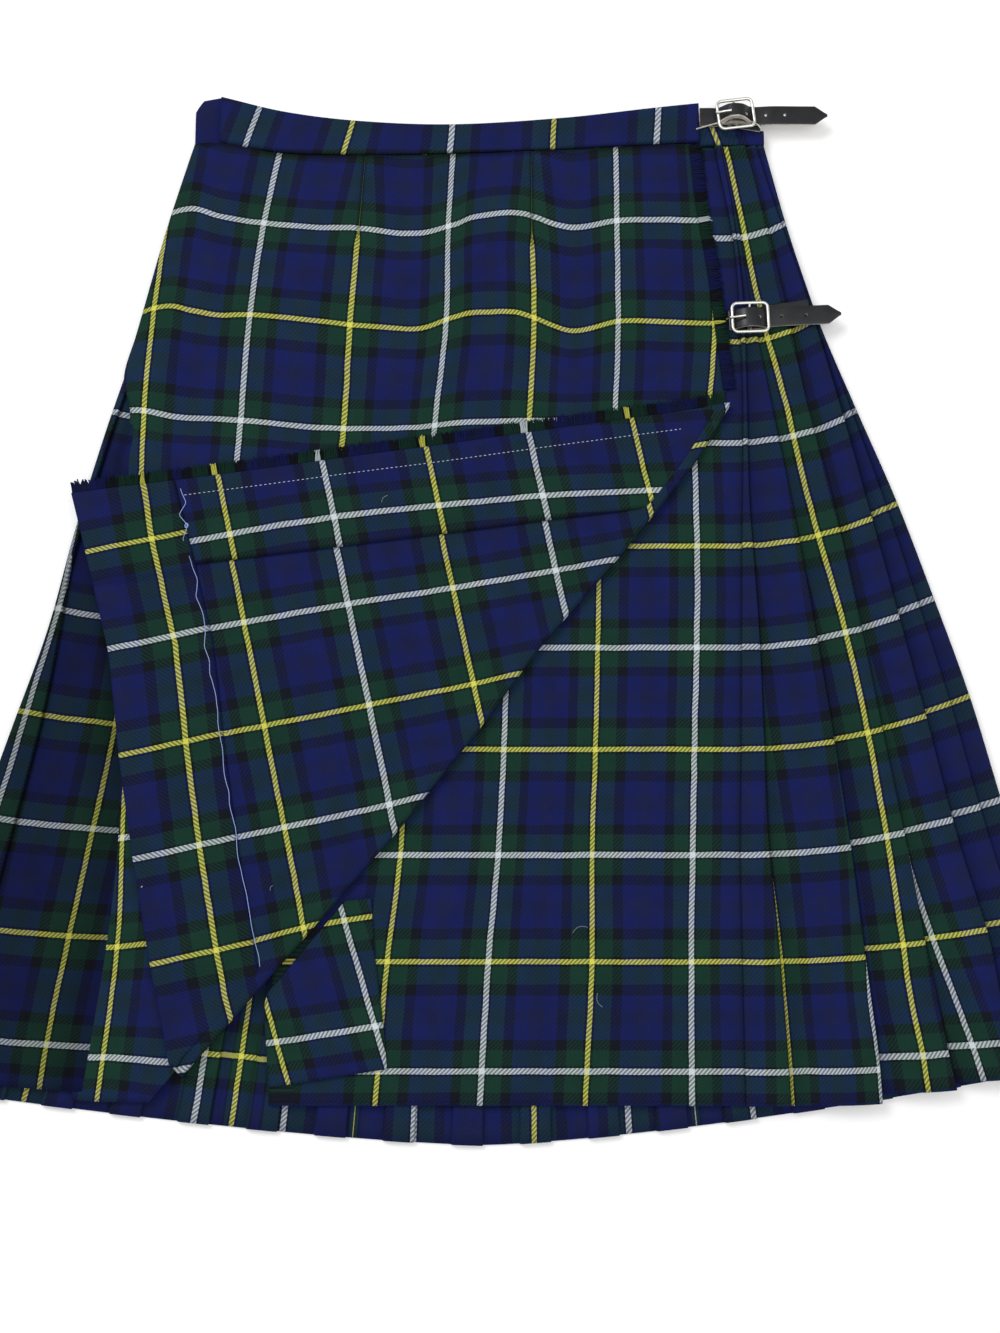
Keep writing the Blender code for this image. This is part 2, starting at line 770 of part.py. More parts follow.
def tube(name, points, radius, sides, closed, look):
    """A round bar through points in the order given."""
    line = bpy.data.curves.new(name, "CURVE")
    line.dimensions = "3D"
    line.bevel_depth = radius
    line.bevel_resolution = sides
    line.use_fill_caps = not closed
    run = line.splines.new("POLY")
    run.points.add(len(points) - 1)
    for point, place in zip(run.points, points):
        point.co = (place[0], place[1], place[2], 1.0)
    run.use_cyclic_u = closed
    line.materials.append(look)
    made = bpy.data.objects.new(name, line)
    bpy.context.scene.collection.objects.link(made)
    return made


def frame_points(width, height, corner):
    """Middle line of a rounded rectangle, in its own plane."""
    points = []
    for index, (sx, sy) in enumerate(((1, 1), (-1, 1), (-1, -1), (1, -1))):
        centre = (sx * (width / 2 - corner), sy * (height / 2 - corner))
        for step in range(3):
            angle = math.radians(90 * index + 45 * step)
            points.append((centre[0] + corner * math.cos(angle), centre[1] + corner * math.sin(angle)))
    return points


def make_buckle(name, x, y, turn, base, bar_at, buckle_turn, nickel):
    origin, way, side = strap_frame(x, y, turn)
    strap_way = way
    middle = origin + strap_way * bar_at
    middle, way, side = strap_frame(middle.x, middle.y, buckle_turn)
    bar_z = base + 0.0038
    frame_z = base + CHAPE + 3 * CLEAR + STRAP + BAR + 0.0002
    flat = frame_points(BUCKLE_WIDTH - 2 * BAR, BUCKLE_HEIGHT - 2 * BAR, BUCKLE_CORNER)
    points = [middle + way * a + side * b + Vector((0, 0, frame_z)) for a, b in flat]
    frame = tube(name + "_buckle", points, BAR, 1, True, nickel)
    reach = BUCKLE_HEIGHT / 2 - BAR
    ends = [middle + side * (reach * s) + Vector((0, 0, z)) for s, z in
            ((-1, frame_z), (-0.72, bar_z), (0.72, bar_z), (1, frame_z))]
    bar = tube(name + "_bar_guide", ends, CENTRE_BAR, 1, False, nickel)
    bar.hide_render = True
    bar.display_type = "WIRE"
    solid = as_mesh(frame)
    joined = solid.modifiers.new("join_bar", "BOOLEAN")
    joined.operation = "UNION"
    joined.object = as_mesh(bar, guide=True)
    joined.solver = "EXACT"
    near = bar_at - BUCKLE_WIDTH / 2 + BAR
    top = frame_z + BAR + CLEAR + 0.0006
    pin = [origin + strap_way * a + Vector((0, 0, z)) for a, z in
           ((near - 0.0018, top), (near + 0.0012, top), (near + 0.0042, top + 0.0004),
            (bar_at - 0.0028, bar_z + CENTRE_BAR + 2 * CLEAR + STRAP + 0.0016))]
    tube(name + "_prong", pin, 0.0006, 1, False, nickel)


def as_mesh(source, guide=False):
    """The same piece as a mesh object, in place of its curve."""
    name = source.name
    evaluated = source.evaluated_get(bpy.context.evaluated_depsgraph_get())
    mesh = bpy.data.meshes.new_from_object(evaluated)
    bpy.data.objects.remove(source, do_unlink=True)
    made = bpy.data.objects.new(name, mesh)
    bpy.context.scene.collection.objects.link(made)
    if guide:
        made.hide_render = True
        made.display_type = "WIRE"
    return made


def main():
    clear_scene()
    tartan = material("tartan wool", "tartan", 0.92)
    inside = material("tartan wool facing", "tartan_light", 0.92)
    loose = material("loose wool strands", "fringe", 0.95)
    leather = material("black leather", "leather", 0.38)
    suede = material("leather underside", "suede", 0.85)
    nickel = material("nickel plated buckle", "nickel", 0.25, 1.0)
    make_back(tartan)
    make_right_side(tartan)
    make_left_side(tartan)
    make_under_apron(tartan)
    make_over_apron(tartan)
    make_corner(tartan)
    make_facing(inside)
    make_hem_turnup(inside)
    make_inner_fold(inside)
    make_bands(tartan)
    make_fringes(loose)
    for name, x, y, turn, base, bar_at, buckle_turn, length in STRAPS:
        make_strap(name, x, y, turn, base, bar_at, length, leather)
        make_chape(name, x, y, turn, base, bar_at, buckle_turn, suede)
        make_buckle(name, x, y, turn, base, bar_at, buckle_turn, nickel)


main()
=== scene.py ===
import math

import bmesh
import bpy
from bpy.props import FloatProperty, FloatVectorProperty, PointerProperty
from mathutils import Matrix, Vector, noise


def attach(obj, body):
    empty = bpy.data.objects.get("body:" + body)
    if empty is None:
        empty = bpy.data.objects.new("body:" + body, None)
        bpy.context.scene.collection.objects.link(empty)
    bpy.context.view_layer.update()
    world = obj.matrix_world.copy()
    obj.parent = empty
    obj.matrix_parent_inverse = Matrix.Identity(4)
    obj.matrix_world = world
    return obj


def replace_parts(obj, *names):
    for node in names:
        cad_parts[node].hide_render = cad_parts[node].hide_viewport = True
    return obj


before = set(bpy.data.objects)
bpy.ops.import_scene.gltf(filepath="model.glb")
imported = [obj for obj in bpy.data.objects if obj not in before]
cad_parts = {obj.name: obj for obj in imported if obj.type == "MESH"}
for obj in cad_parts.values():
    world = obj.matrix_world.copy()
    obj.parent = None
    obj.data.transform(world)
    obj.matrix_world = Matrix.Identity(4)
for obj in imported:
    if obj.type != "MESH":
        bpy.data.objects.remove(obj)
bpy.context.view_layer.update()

bl_info = {
    "name": "Laid Kilt",
    "version": (1, 0, 0),
    "blender": (4, 5, 0),
    "location": "3D Viewport > Sidebar > Kilt",
    "description": "Makes the cloth, fringe, sewing, leather and buckles of a laid kilt",
    "category": "Mesh",
}

# Cloth layers, with the same sizes as the solids. Heights are of the middle of each layer.
CLOTH = 0.0012
CLEAR = 0.00035
SEAM = 0.0003
LAYER = 0.0016
WAIST_Y = 0.348
HEM = 0.619
HEM_DIP = 0.024
BACK_LOW = CLOTH / 2
BACK_TOP = BACK_LOW + 2 * LAYER + CLOTH / 2
UNDER_Z = BACK_TOP + CLEAR + CLOTH / 2
PLEAT_TOP_Z = UNDER_Z + 2 * LAYER
OVER_Z = UNDER_Z + CLOTH + CLEAR
CORNER_Z = OVER_Z + CLOTH + CLEAR
FACING = 0.0010
FACING_STEP = CLOTH / 2 + 2 * CLEAR + FACING / 2
HEM_WIDTH = 0.735

# Outline of the laid kilt, a row for each length below the waist seam.
OUTLINE = (
    # length, left_x, left_rise, right_x, right_rise
    (0.000, -0.202, 0.000, 0.176, 0.000),
    (0.071, -0.221, 0.002, 0.191, 0.011),
    (0.137, -0.237, 0.005, 0.209, 0.0165),
    (0.203, -0.256, 0.007, 0.232, 0.022),
    (0.269, -0.273, 0.009, 0.2555, 0.028),
    (0.335, -0.288, 0.010, 0.2765, 0.032),
    (0.401, -0.309, 0.010, 0.297, 0.034),
    (0.467, -0.330, 0.010, 0.314, 0.035),
    (0.532, -0.351, 0.010, 0.333, 0.029),
    (0.619, -0.378, 0.013, 0.357, 0.024),
)

# First crease of the right side and left edge of the over apron. That edge follows the outline
# down from the waist, then steps in and leaves a strip of the left side's pleats bare.
CREASES = (
    # length, right_crease_x, apron_left_x
    (0.000, 0.143, -0.2025),
    (0.071, 0.1545, -0.2215),
    (0.137, 0.1575, -0.2372),
    (0.166, 0.158, -0.2440),
    (0.188, 0.1577, -0.2395),
    (0.218, 0.1570, -0.2460),
    (0.280, 0.155, -0.2455),
    (0.401, 0.152, -0.2440),
    (0.467, 0.150, -0.2445),
    (0.532, 0.150, -0.2500),
    (0.619, 0.150, -0.2615),
)

# Pleat edges of the right side.
RIGHT_EDGES = (
    # height y, x of the second to the fifth crease
    (0.357, 0.1440, 0.1454, 0.1600, 0.1670),
    (0.310, 0.1520, 0.1538, 0.1715, 0.1800),
    (0.241, 0.1586, 0.1630, 0.1860, 0.2010),
    (0.173, 0.1596, 0.1750, 0.1980, 0.2192),
    (0.107, 0.1598, 0.1865, 0.2133, 0.2352),
    (0.022, 0.1640, 0.1997, 0.2290, 0.2549),
    (-0.042, 0.1655, 0.2085, 0.2401, 0.2697),
    (-0.109, 0.1667, 0.2170, 0.2517, 0.2842),
    (-0.171, 0.1710, 0.2233, 0.2611, 0.3008),
    (-0.208, 0.1733, 0.2270, 0.2675, 0.3065),
    (-0.241, 0.1751, 0.2303, 0.2732, 0.3115),
    (-0.275, 0.1765, 0.2320, 0.2800, 0.3170),
)
LAST_EDGE_SHARE = 0.53
RIGHT_PUFFS = (0.0006, 0.0026, 0.0022, 0.0020, 0.0018)

# How much higher each strip's cross lines lie than those of the strip to its left.
RIGHT_STEPS = (
    # length, step at the third, fourth and fifth crease
    (0.000, 0.0000, 0.0000, 0.0000),
    (0.175, 0.0000, 0.0000, 0.0010),
    (0.250, 0.0008, 0.0000, 0.0028),
    (0.330, 0.0013, 0.0005, 0.0028),
    (0.461, 0.0025, 0.0010, 0.0028),
    (0.526, 0.0045, 0.0018, 0.0028),
    (0.592, 0.0070, 0.0040, 0.0028),
    (0.619, 0.0055, 0.0040, 0.0030),
)

# Where a line of the check runs in each strip of the right side.
RIGHT_STRIPES = (
    # height y, first strip's white, second strip's yellow and white, long yellow, fourth's white
    (0.357, 0.1260, 0.1100, 0.1850, 0.1483, 0.1480),
    (0.310, 0.1260, 0.1180, 0.1950, 0.1575, 0.1580),
    (0.241, 0.1260, 0.1250, 0.2000, 0.1694, 0.1720),
    (0.173, 0.1260, 0.1330, 0.2000, 0.1848, 0.1880),
    (0.107, 0.1260, 0.1400, 0.2030, 0.1980, 0.2030),
    (0.022, 0.1260, 0.1510, 0.2120, 0.2180, 0.2200),
    (-0.042, 0.1225, 0.1570, 0.2200, 0.2300, 0.2350),
    (-0.109, 0.1195, 0.1650, 0.2265, 0.2398, 0.2500),
    (-0.171, 0.1182, 0.1722, 0.2258, 0.2471, 0.2668),
    (-0.208, 0.1178, 0.1748, 0.2264, 0.2508, 0.2790),
    (-0.241, 0.1174, 0.1769, 0.2300, 0.2566, 0.2895),
    (-0.263, 0.1170, 0.1778, 0.2312, 0.2594, 0.2955),
    (-0.275, 0.1168, 0.1782, 0.2316, 0.2606, 0.2985),
)
RIGHT_WEFTS = (
    # length, place in the check
    (0.000, -0.186),
    (0.0639, -0.132),
    (0.135, -0.066),
    (0.203, 0.000),
    (0.271, 0.066),
    (0.3368, 0.132),
    (0.4015, 0.198),
    (0.4674, 0.264),
    (0.5328, 0.330),
    (0.5986, 0.396),
)

LEFT_START_X = -0.200
LEFT_WEFT_START = 0.321
LEFT_HEM = 0.6115
APRON_HEM = 0.617
LEFT_STRIPES = (
    # height y, pleat edge, white beside that edge, long yellow
    (0.120, -0.2660, -0.2680, -0.2150),
    (0.034, -0.2770, -0.2790, -0.2320),
    (-0.033, -0.2870, -0.2960, -0.2410),
    (-0.098, -0.3010, -0.3130, -0.2525),
    (-0.165, -0.3160, -0.3330, -0.2650),
    (-0.235, -0.3290, -0.3550, -0.2770),
    (-0.272, -0.3350, -0.3640, -0.2815),
)

BACK_PLEATS = 17
PLEAT_DEPTH = 0.016
BACK_DEPTH = 0.017
BACK_INSET = 0.012
BACK_WEFT_START = 0.248
PLEAT_ROUNDING = 0.0009
BACK_ROUNDING = 0.0006
BACK_STRIPES = (
    # x where a line of the back's inside shows at the hem, place of that line in the check
    (-0.2920, -0.066),
    (-0.1870, 0.000),
    (-0.1645, 0.066),
    (-0.1330, 0.132),
    (-0.0530, 0.264),
    (0.0210, 0.330),
    (0.0790, 0.396),
    (0.1550, 0.396),
    (0.2300, 0.462),
    (0.3000, 0.528),
)

# Fringed edge of the over apron, then the line it is folded back along.
APRON_EDGE = (
    # length, edge_x
    (0.000, 0.1265),
    (0.046, 0.131),
    (0.086, 0.137),
    (0.123, 0.141),
    (0.171, 0.1465),
)
FOLD_LINE = (
    # x, y
    (0.149, 0.170),
    (0.126, 0.132),
    (0.080, 0.074),
    (0.025, 0.011),
    (-0.014, -0.042),
    (-0.066, -0.107),
    (-0.126, -0.176),
    (-0.199, -0.259),
)
CORNER_HEM = (
    # x, y
    (-0.274, 0.110),
    (-0.260, 0.058),
    (-0.247, 0.007),
    (-0.238, -0.059),
    (-0.228, -0.121),
    (-0.215, -0.187),
    (-0.200, -0.252),
)
CORNER_START = Vector(CORNER_HEM[0])
HEM_TURNUP = 0.066
EDGE_FACING = 0.056
ROLL = 0.0045
ROLL_START = 0.034
TIP_START_X = -0.212
TIP_RUN = 0.034
TIP_LIFT = 0.0021
MIRROR_POINT = (0.1488, 0.1707)
MIRROR_TURN = -128.85

# Cross-section of the soft fold, from the flat part of the corner round to the over apron.
ROLL_PROFILE = (
    # step, distance from the fold line, height above the middle of the over apron
    (0.0, -0.0340, CORNER_Z - OVER_Z),
    (1.0, -0.0230, 0.0022),
    (2.0, -0.0130, 0.0036),
    (3.0, -0.0060, 0.0047),
    (4.0, -0.0018, 0.0044),
    (5.0, 0.0000, 0.0028),
    (6.0, -0.0008, 0.0010),
    (7.0, -ROLL, 0.0002),
)

# Soft ridges and troughs. A trough is a ridge with a negative height between two others.
RIDGES = (
    # x_top, y_top, x_bottom, y_bottom, height, half_width
    (-0.082, 0.270, -0.066, 0.167, 0.0022, 0.015),
    (-0.038, 0.300, -0.030, 0.167, 0.0034, 0.017),
    (0.022, 0.270, 0.012, 0.168, 0.0026, 0.016),
    (0.088, 0.250, 0.078, 0.180, 0.0018, 0.018),
    (-0.176, 0.300, -0.188, 0.180, 0.0016, 0.018),
)
UNDER_RIDGES = (
    (0.096, 0.030, 0.088, -0.262, 0.0016, 0.014),
    (0.030, -0.060, 0.024, -0.262, 0.0014, 0.016),
    (-0.036, -0.130, -0.030, -0.262, 0.0012, 0.014),
)

# Waistbands
BAND_TOP = (
    # x, y of the front waistband's top edge, y of its seam
    (-0.186, 0.383, 0.350),
    (-0.144, 0.3725, 0.3435),
    (-0.095, 0.366, 0.342),
    (-0.033, 0.3635, 0.343),
    (0.041, 0.368, 0.346),
    (0.105, 0.3755, 0.3495),
    (0.1325, 0.3785, 0.3505),
)
BAND = 0.0024
INNER_BAND = (
    # x, top edge, thickness
    (-0.148, 0.3615, 0.00105),
    (0.040, 0.3600, 0.00105),
    (0.1332, 0.3660, 0.00105),
    (0.1368, 0.3660, 0.0036),
    (0.1755, 0.3590, 0.0036),
)
BACK_BAND = (
    # x, top edge
    (-0.2035, 0.3750),
    (-0.1990, 0.3828),
    (-0.1860, 0.3853),
    (-0.1000, 0.3613),
    (0.0000, 0.3603),
    (0.1200, 0.3640),
    (0.1755, 0.3590),
)

# Where the lines of the check run, as places in the real cloth. White lines lie at whole
# repeats and yellow ones half way between them.
HALF_SETT = 0.066
DART_GAP = 0.00025
APRON_FRINGE = 0.166
APRON_WARPS = (
    # height y, x of the seven lines from the left fold to the fringed edge
    (0.360, -0.2120, -0.1440, -0.0885, -0.0305, 0.0212, 0.0770, 0.1340),
    (0.294, -0.2190, -0.1560, -0.0930, -0.0340, 0.0210, 0.0770, 0.1385),
    (0.225, -0.2260, -0.1640, -0.0980, -0.0350, 0.0222, 0.0770, 0.1402),
    (0.160, -0.2305, -0.1680, -0.1008, -0.0420, 0.0190, 0.0745, 0.1350),
    (0.100, -0.2310, -0.1720, -0.1060, -0.0460, 0.0160, 0.0730, 0.1340),
    (-0.100, -0.2352, -0.1780, -0.1150, -0.0520, 0.0120, 0.0710, 0.1330),
    (-0.175, -0.2360, -0.1800, -0.1180, -0.0540, 0.0110, 0.0700, 0.1320),
    (-0.268, -0.2450, -0.1860, -0.1220, -0.0560, 0.0100, 0.0700, 0.1320),
)
APRON_WARP_PLACES = (-0.198, -0.132, -0.066, 0.0, 0.066, 0.132, 0.198)
APRON_WEFTS = (
    # x, y of the first white, the yellow and the second white line across the apron
    (-0.252, 0.2960, 0.2240, 0.1670),
    (-0.232, 0.2980, 0.2327, 0.1660),
    (-0.2146, 0.3005, 0.2360, 0.1625),
    (-0.2015, 0.3026, 0.2325, 0.1612),
    (-0.183, 0.2970, 0.2300, 0.1605),
    (-0.160, 0.2945, 0.2308, 0.1590),
    (-0.122, 0.2912, 0.2270, 0.1550),
    (-0.094, 0.2900, 0.2238, 0.1542),
    (-0.053, 0.2868, 0.2212, 0.1552),
    (-0.030, 0.2925, 0.2285, 0.1580),
    (-0.018, 0.2980, 0.2320, 0.1586),
    (0.011, 0.3010, 0.2318, 0.1590),
    (0.047, 0.2912, 0.2202, 0.1600),
    (0.078, 0.2960, 0.2262, 0.1606),
    (0.131, 0.2960, 0.2252, 0.1610),
    (0.150, 0.2940, 0.2246, 0.1610),
)
APRON_LOWER_WEFTS = (
    # height y, place in the check, how much lower it lies beside the left fold
    (0.101, 0.198, 0.0000),
    (0.0365, 0.264, 0.0010),
    (-0.034, 0.330, 0.0030),
    (-0.104, 0.396, 0.0055),
    (-0.172, 0.462, 0.0040),
    (-0.245, 0.528, -0.0030),
)
DARTS = (
    # warp line it ends on, y of its tip, cloth taken in on each side at the waist
    (2, 0.283, 0.0085),
    (4, 0.277, 0.0085),
)
FLAP_WARPS = (
    # unfolded height y, unfolded x of the six lines across the turned-up corner
    (-0.260, -0.1900, -0.1240, -0.0570, 0.0080, 0.0750, 0.1400),
    (-0.190, -0.1870, -0.1215, -0.0575, 0.0075, 0.0752, 0.1390),
    (-0.095, -0.1830, -0.1175, -0.0580, 0.0060, 0.0720, 0.1360),
    (-0.030, -0.1800, -0.1150, -0.0550, 0.0050, 0.0680, 0.1320),
    (0.037, -0.1780, -0.1140, -0.0540, 0.0055, 0.0650, 0.1290),
    (0.100, -0.1760, -0.1130, -0.0530, 0.0060, 0.0625, 0.1260),
)
FLAP_WARP_PLACES = (-0.132, -0.066, 0.0, 0.066, 0.132, 0.198)
FLAP_WEFTS = ((0.168, 0.132), (0.1035, 0.198), (0.0365, 0.264), (-0.030, 0.330), (-0.097, 0.396),
              (-0.164, 0.462), (-0.256, 0.554))
FRINGE_EDGE = (
    # unfolded height y, unfolded x
    (0.349, 0.131),
    (0.173, 0.144),
    (0.044, 0.165),
    (-0.095, 0.181),
    (-0.208, 0.185),
    (-0.330, 0.185),
)
UNDER_LEFT = -0.1408
UNDER_WARPS = (
    # height y, x of four lines
    (0.360, -0.0500, 0.0100, 0.0640, 0.1200),
    (0.250, -0.0510, 0.0095, 0.0640, 0.1230),
    (0.145, -0.0530, 0.0085, 0.0640, 0.1255),
    (0.053, -0.0570, 0.0060, 0.0630, 0.1260),
    (-0.053, -0.0590, 0.0025, 0.0600, 0.1222),
    (-0.119, -0.0620, -0.0012, 0.0572, 0.1200),
    (-0.184, -0.0695, -0.0072, 0.0568, 0.1180),
    (-0.268, -0.0760, -0.0122, 0.0520, 0.1170),
)
UNDER_WARP_PLACES = (-0.066, 0.0, 0.066, 0.132)
UNDER_WEFTS = ((0.348, -0.186), (0.284, -0.132), (0.213, -0.066), (0.145, 0.0), (0.077, 0.066),
               (0.0112, 0.132), (-0.0535, 0.198), (-0.1194, 0.264), (-0.1848, 0.330), (-0.2506, 0.396))

# Straps and buckles
STRAP_WIDTH = 0.0125
STRAP = 0.0016
TIP = 0.008
CHAPE = 0.0012
CHAPE_LENGTH = 0.040
UPPER_CHAPE_SHARE = 0.45
BAR = 0.0011
CENTRE_BAR = 0.0009
BAR_RISE = 0.0038
BUCKLE_WIDTH = 0.0255
BUCKLE_HEIGHT = 0.0215
BUCKLE_CORNER = 0.0035
STRAPS = (
    # name, x, y, turn in degrees, start, base height, distance to the middle bar, rise over it,
    # buckle's turn, chape's turn, length
    ("upper", 0.1235, 0.3672, 0.0, 0.0092, 0.0089, 0.0325, 0.0020, 7.0, -10.0, 0.0935),
    ("lower", 0.1410, 0.2258, 3.0, 0.0085, 0.0092, 0.0215, 0.0004, 2.0, 9.5, 0.0810),
)
CHAPE_EDGE = (
    # x, y of the pale edge of the upper chape, below the strap
    (0.1299, 0.3573),
    (0.1366, 0.3594),
    (0.1439, 0.3615),
    (0.1505, 0.3611),
    (0.1571, 0.3608),
    (0.1631, 0.3615),
    (0.1678, 0.3625),
    (0.1710, 0.3601),
    (0.1730, 0.3573),
)
CHAPE_ARCH = (
    # x, y, z of the edge where that chape bulges up beside the strap
    (0.1446, 0.3614, 0.0138),
    (0.1470, 0.3622, 0.0160),
    (0.1499, 0.3630, 0.0180),
    (0.1535, 0.3636, 0.0192),
    (0.1573, 0.3637, 0.0196),
    (0.1605, 0.3633, 0.0186),
    (0.1635, 0.3626, 0.0164),
    (0.1662, 0.3620, 0.0138),
)
CHAPE_EDGE_Z = 0.0132
HOLE_RADIUS = 0.0009
STRAP_HOLES = (
    # distances of the holes from the strap's start
    ("upper", 0.0391, 0.0527, 0.0652),
    ("lower", 0.0275, 0.0420, 0.0580),
)


def smooth(share):
    share = min(max(share, 0.0), 1.0)
    return share * share * (3 - 2 * share)


def curve(rows, column, at, key=0):
    """Smooth value of a table's column, by cubic steps between its rows."""
    low = 0
    while low < len(rows) - 2 and (at - rows[low + 1][key]) * (rows[-1][key] - rows[0][key]) > 0:
        low += 1
    before = rows[max(low - 1, 0)]
    start = rows[low]
    end = rows[low + 1]
    after = rows[min(low + 2, len(rows) - 1)]
    share = (at - start[key]) / (end[key] - start[key])
    span = end[key] - start[key]
    slope_a = (end[column] - before[column]) / (end[key] - before[key]) * span
    slope_b = (after[column] - start[column]) / (after[key] - start[key]) * span
    square = share * share
    cube = square * share
    return ((2 * cube - 3 * square + 1) * start[column] + (cube - 2 * square + share) * slope_a
            + (3 * square - 2 * cube) * end[column] + (cube - square) * slope_b)


def place_between(pairs, at):
    """Value at a place by straight steps between (place, value) pairs, carried on past both ends."""
    rising = pairs[-1][0] > pairs[0][0]
    for (a, first), (b, second) in zip(pairs, pairs[1:]):
        if (at <= b) == rising or b == pairs[-1][0]:
            return first + (second - first) * (at - a) / (b - a)


def path_point(points, share):
    """Point at a share of the length of an open run of points."""
    lengths = [math.dist(a[:2], b[:2]) for a, b in zip(points, points[1:])]
    left = share * sum(lengths)
    for a, b, length in zip(points, points[1:], lengths):
        if left <= length or b is points[-1]:
            part = left / length
            return Vector((a[0] + (b[0] - a[0]) * part, a[1] + (b[1] - a[1]) * part, 0.0))
        left -= length


def path_length(points):
    return sum(math.dist(a[:2], b[:2]) for a, b in zip(points, points[1:]))


def ridge_lift(ridges, x, y):
    """Height that a set of soft ridges adds at a place."""
    total = 0.0
    for x_top, y_top, x_bottom, y_bottom, height, half_width in ridges:
        share = (y_top - y) / (y_top - y_bottom)
        if share <= 0.0 or share >= 1.0:
            continue
        middle = x_top + (x_bottom - x_top) * share
        fade = math.sin(math.pi * share) ** 0.7
        total += height * fade * math.exp(-((x - middle) / half_width) ** 2)
    return total


def unevenness(x, y, size, height):
    """A gentle rise and fall of laid cloth, never below zero. The same place always gets the same."""
    value = noise.noise(Vector((x / size, y / size * 0.6, 3.7)))
    return height * (0.5 + 0.5 * max(-1.0, min(1.0, value * 1.6)))


def laid_lift(x, y):
    """What every front layer rises by at a place, so that layers stay clear of each other."""
    fade = smooth((0.345 - y) / 0.06)
    return fade * unevenness(x, y, 0.075, 0.0016)


def over_lift(x, y):
    return ridge_lift(RIDGES, x, y) + ridge_lift(UNDER_RIDGES, x, y) + laid_lift(x, y)


def cloth(name, columns, rows, point, look, thickness=None):
    """A sheet of cloth over a grid. point(s, t) gives (x, y, z), (warp, weft) and how much painted shade
    darkens it there.
    """
    sheet = bmesh.new()
    weave = sheet.loops.layers.uv.new("weave")
    painted_shade = sheet.verts.layers.float.new("painted_shade")
    bmesh.ops.create_grid(sheet, x_segments=columns, y_segments=rows, size=0.5)
    places = {}
    for vert in sheet.verts:
        s = round((vert.co.x + 0.5) * columns)
        t = round((vert.co.y + 0.5) * rows)
        # The third value is painted shade. It is kept on each point to darken the cloth's colour in
        # creases, folds and under edges.
        spot, threads, depth = point(s, t)
        vert.co = spot
        vert[painted_shade] = depth
        places[vert] = threads
    for face in sheet.faces:
        for loop in face.loops:
            loop[weave].uv = places[loop.vert]
    sheet.normal_update()
    up = sum(face.normal.z * face.calc_area() for face in sheet.faces)
    if up < 0:
        bmesh.ops.reverse_faces(sheet, faces=sheet.faces)
    made = keep(name, sheet, look)
    wall = made.modifiers.new("cloth_thickness", "SOLIDIFY")
    wall.thickness = thickness or bpy.context.scene.kilt_sizes.cloth_thickness
    wall.offset = 0.0
    return made


def keep(name, shape, look):
    """Turns a bmesh into a piece of the object that rides on its one body."""
    mesh = bpy.data.meshes.new(name)
    for face in shape.faces:
        face.smooth = True
    shape.to_mesh(mesh)
    shape.free()
    for each in look if isinstance(look, (list, tuple)) else [look]:
        mesh.materials.append(each)
    made = bpy.data.objects.new(name, mesh)
    bpy.context.scene.collection.objects.link(made)
    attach(made, "root")
    return made


# Places on the kilt


def side_rise(across, start, length):
    """How far the cross lines of the right side have turned up, apart from the steps at its creases."""
    end = curve(OUTLINE, 3, length)
    share = max((across - start) / (end - start), 0.0)
    stepped = sum(curve(RIGHT_STEPS, i, length) for i in (1, 2, 3))
    return (curve(OUTLINE, 4, length) - stepped) * share * share


def left_inner(length):
    """Where the left side's pleats slip under the over apron."""
    return max(curve(CREASES, 2, length), curve(OUTLINE, 1, length) + 0.0135)


def left_rise(across, length):
    end = curve(OUTLINE, 1, length)
    share = max((across - LEFT_START_X) / (end - LEFT_START_X), 0.0)
    return curve(OUTLINE, 2, length) * share * share


def mirrored(x, y):
    """A point of the turned-up corner where it would lie with the apron unfolded."""
    turn = math.radians(MIRROR_TURN)
    way = Vector((math.cos(turn), math.sin(turn)))
    start = Vector(MIRROR_POINT)
    reach = Vector((x, y)) - start
    return start + way * (2 * reach.dot(way)) - reach


def lines_at(table, places, y):
    return [(curve(table, i + 1, y), place) for i, place in enumerate(places)]


def apron_pairs(y):
    """Warp places across the over apron at a height, with the cloth that the darts take in."""
    pairs = []
    for index, (x, place) in enumerate(lines_at(APRON_WARPS, APRON_WARP_PLACES, y)):
        taken = 0.0
        for line, tip, intake in DARTS:
            if line == index:
                taken = intake * max(0.0, (y - tip) / (WAIST_Y - tip))
                pairs += [(x - DART_GAP, place - taken), (x + DART_GAP, place + taken)]
        if index not in (line for line, tip, intake in DARTS):
            pairs.append((x, place))
    return pairs


def apron_weft(x, y):
    pairs = [(curve(APRON_WEFTS, 1, x) + 0.066, -0.066), (curve(APRON_WEFTS, 1, x), 0.0),
             (curve(APRON_WEFTS, 2, x), 0.066), (curve(APRON_WEFTS, 3, x), 0.132)]
    sag = smooth((-0.195 - x) / 0.050)
    lower = [(height - drop * sag, place) for height, place, drop in APRON_LOWER_WEFTS]
    return place_between(pairs + lower, y)


def over_place(across, length):
    seam = curve(BAND_TOP, 2, max(across, BAND_TOP[0][0])) - SEAM
    fade = max(0.0, 1.0 - length / 0.12)
    y = WAIST_Y - length + (seam - WAIST_Y) * fade
    if across < LEFT_START_X:
        y += left_rise(across, length)
    return y


def dart_relief(x, y):
    """The seam line of each dart, sunk a little and darkened by painted shade, with small puckers at both
    its sides and its tip.
    """
    lift = 0.0
    painted_shade = 0.0
    for line, tip, intake in DARTS:
        middle = curve(APRON_WARPS, line + 1, y)
        away = abs(x - middle)
        share = smooth((y - tip + 0.006) / 0.012)
        below = math.exp(-((y - tip + 0.004) / 0.016) ** 2)
        lift += share * 0.0009 * smooth(away / 0.004) * math.exp(-(away / 0.011) ** 2)
        pucker = math.sin(y * 520.0 + line) * math.exp(-(away / 0.009) ** 2)
        lift += share * 0.00022 * pucker
        lift += below * 0.0010 * math.exp(-(away / 0.010) ** 2)
        # Painted shade along each dart's seam line.
        painted_shade += share * math.exp(-(away / 0.0011) ** 2)
    return lift, min(painted_shade, 1.0)


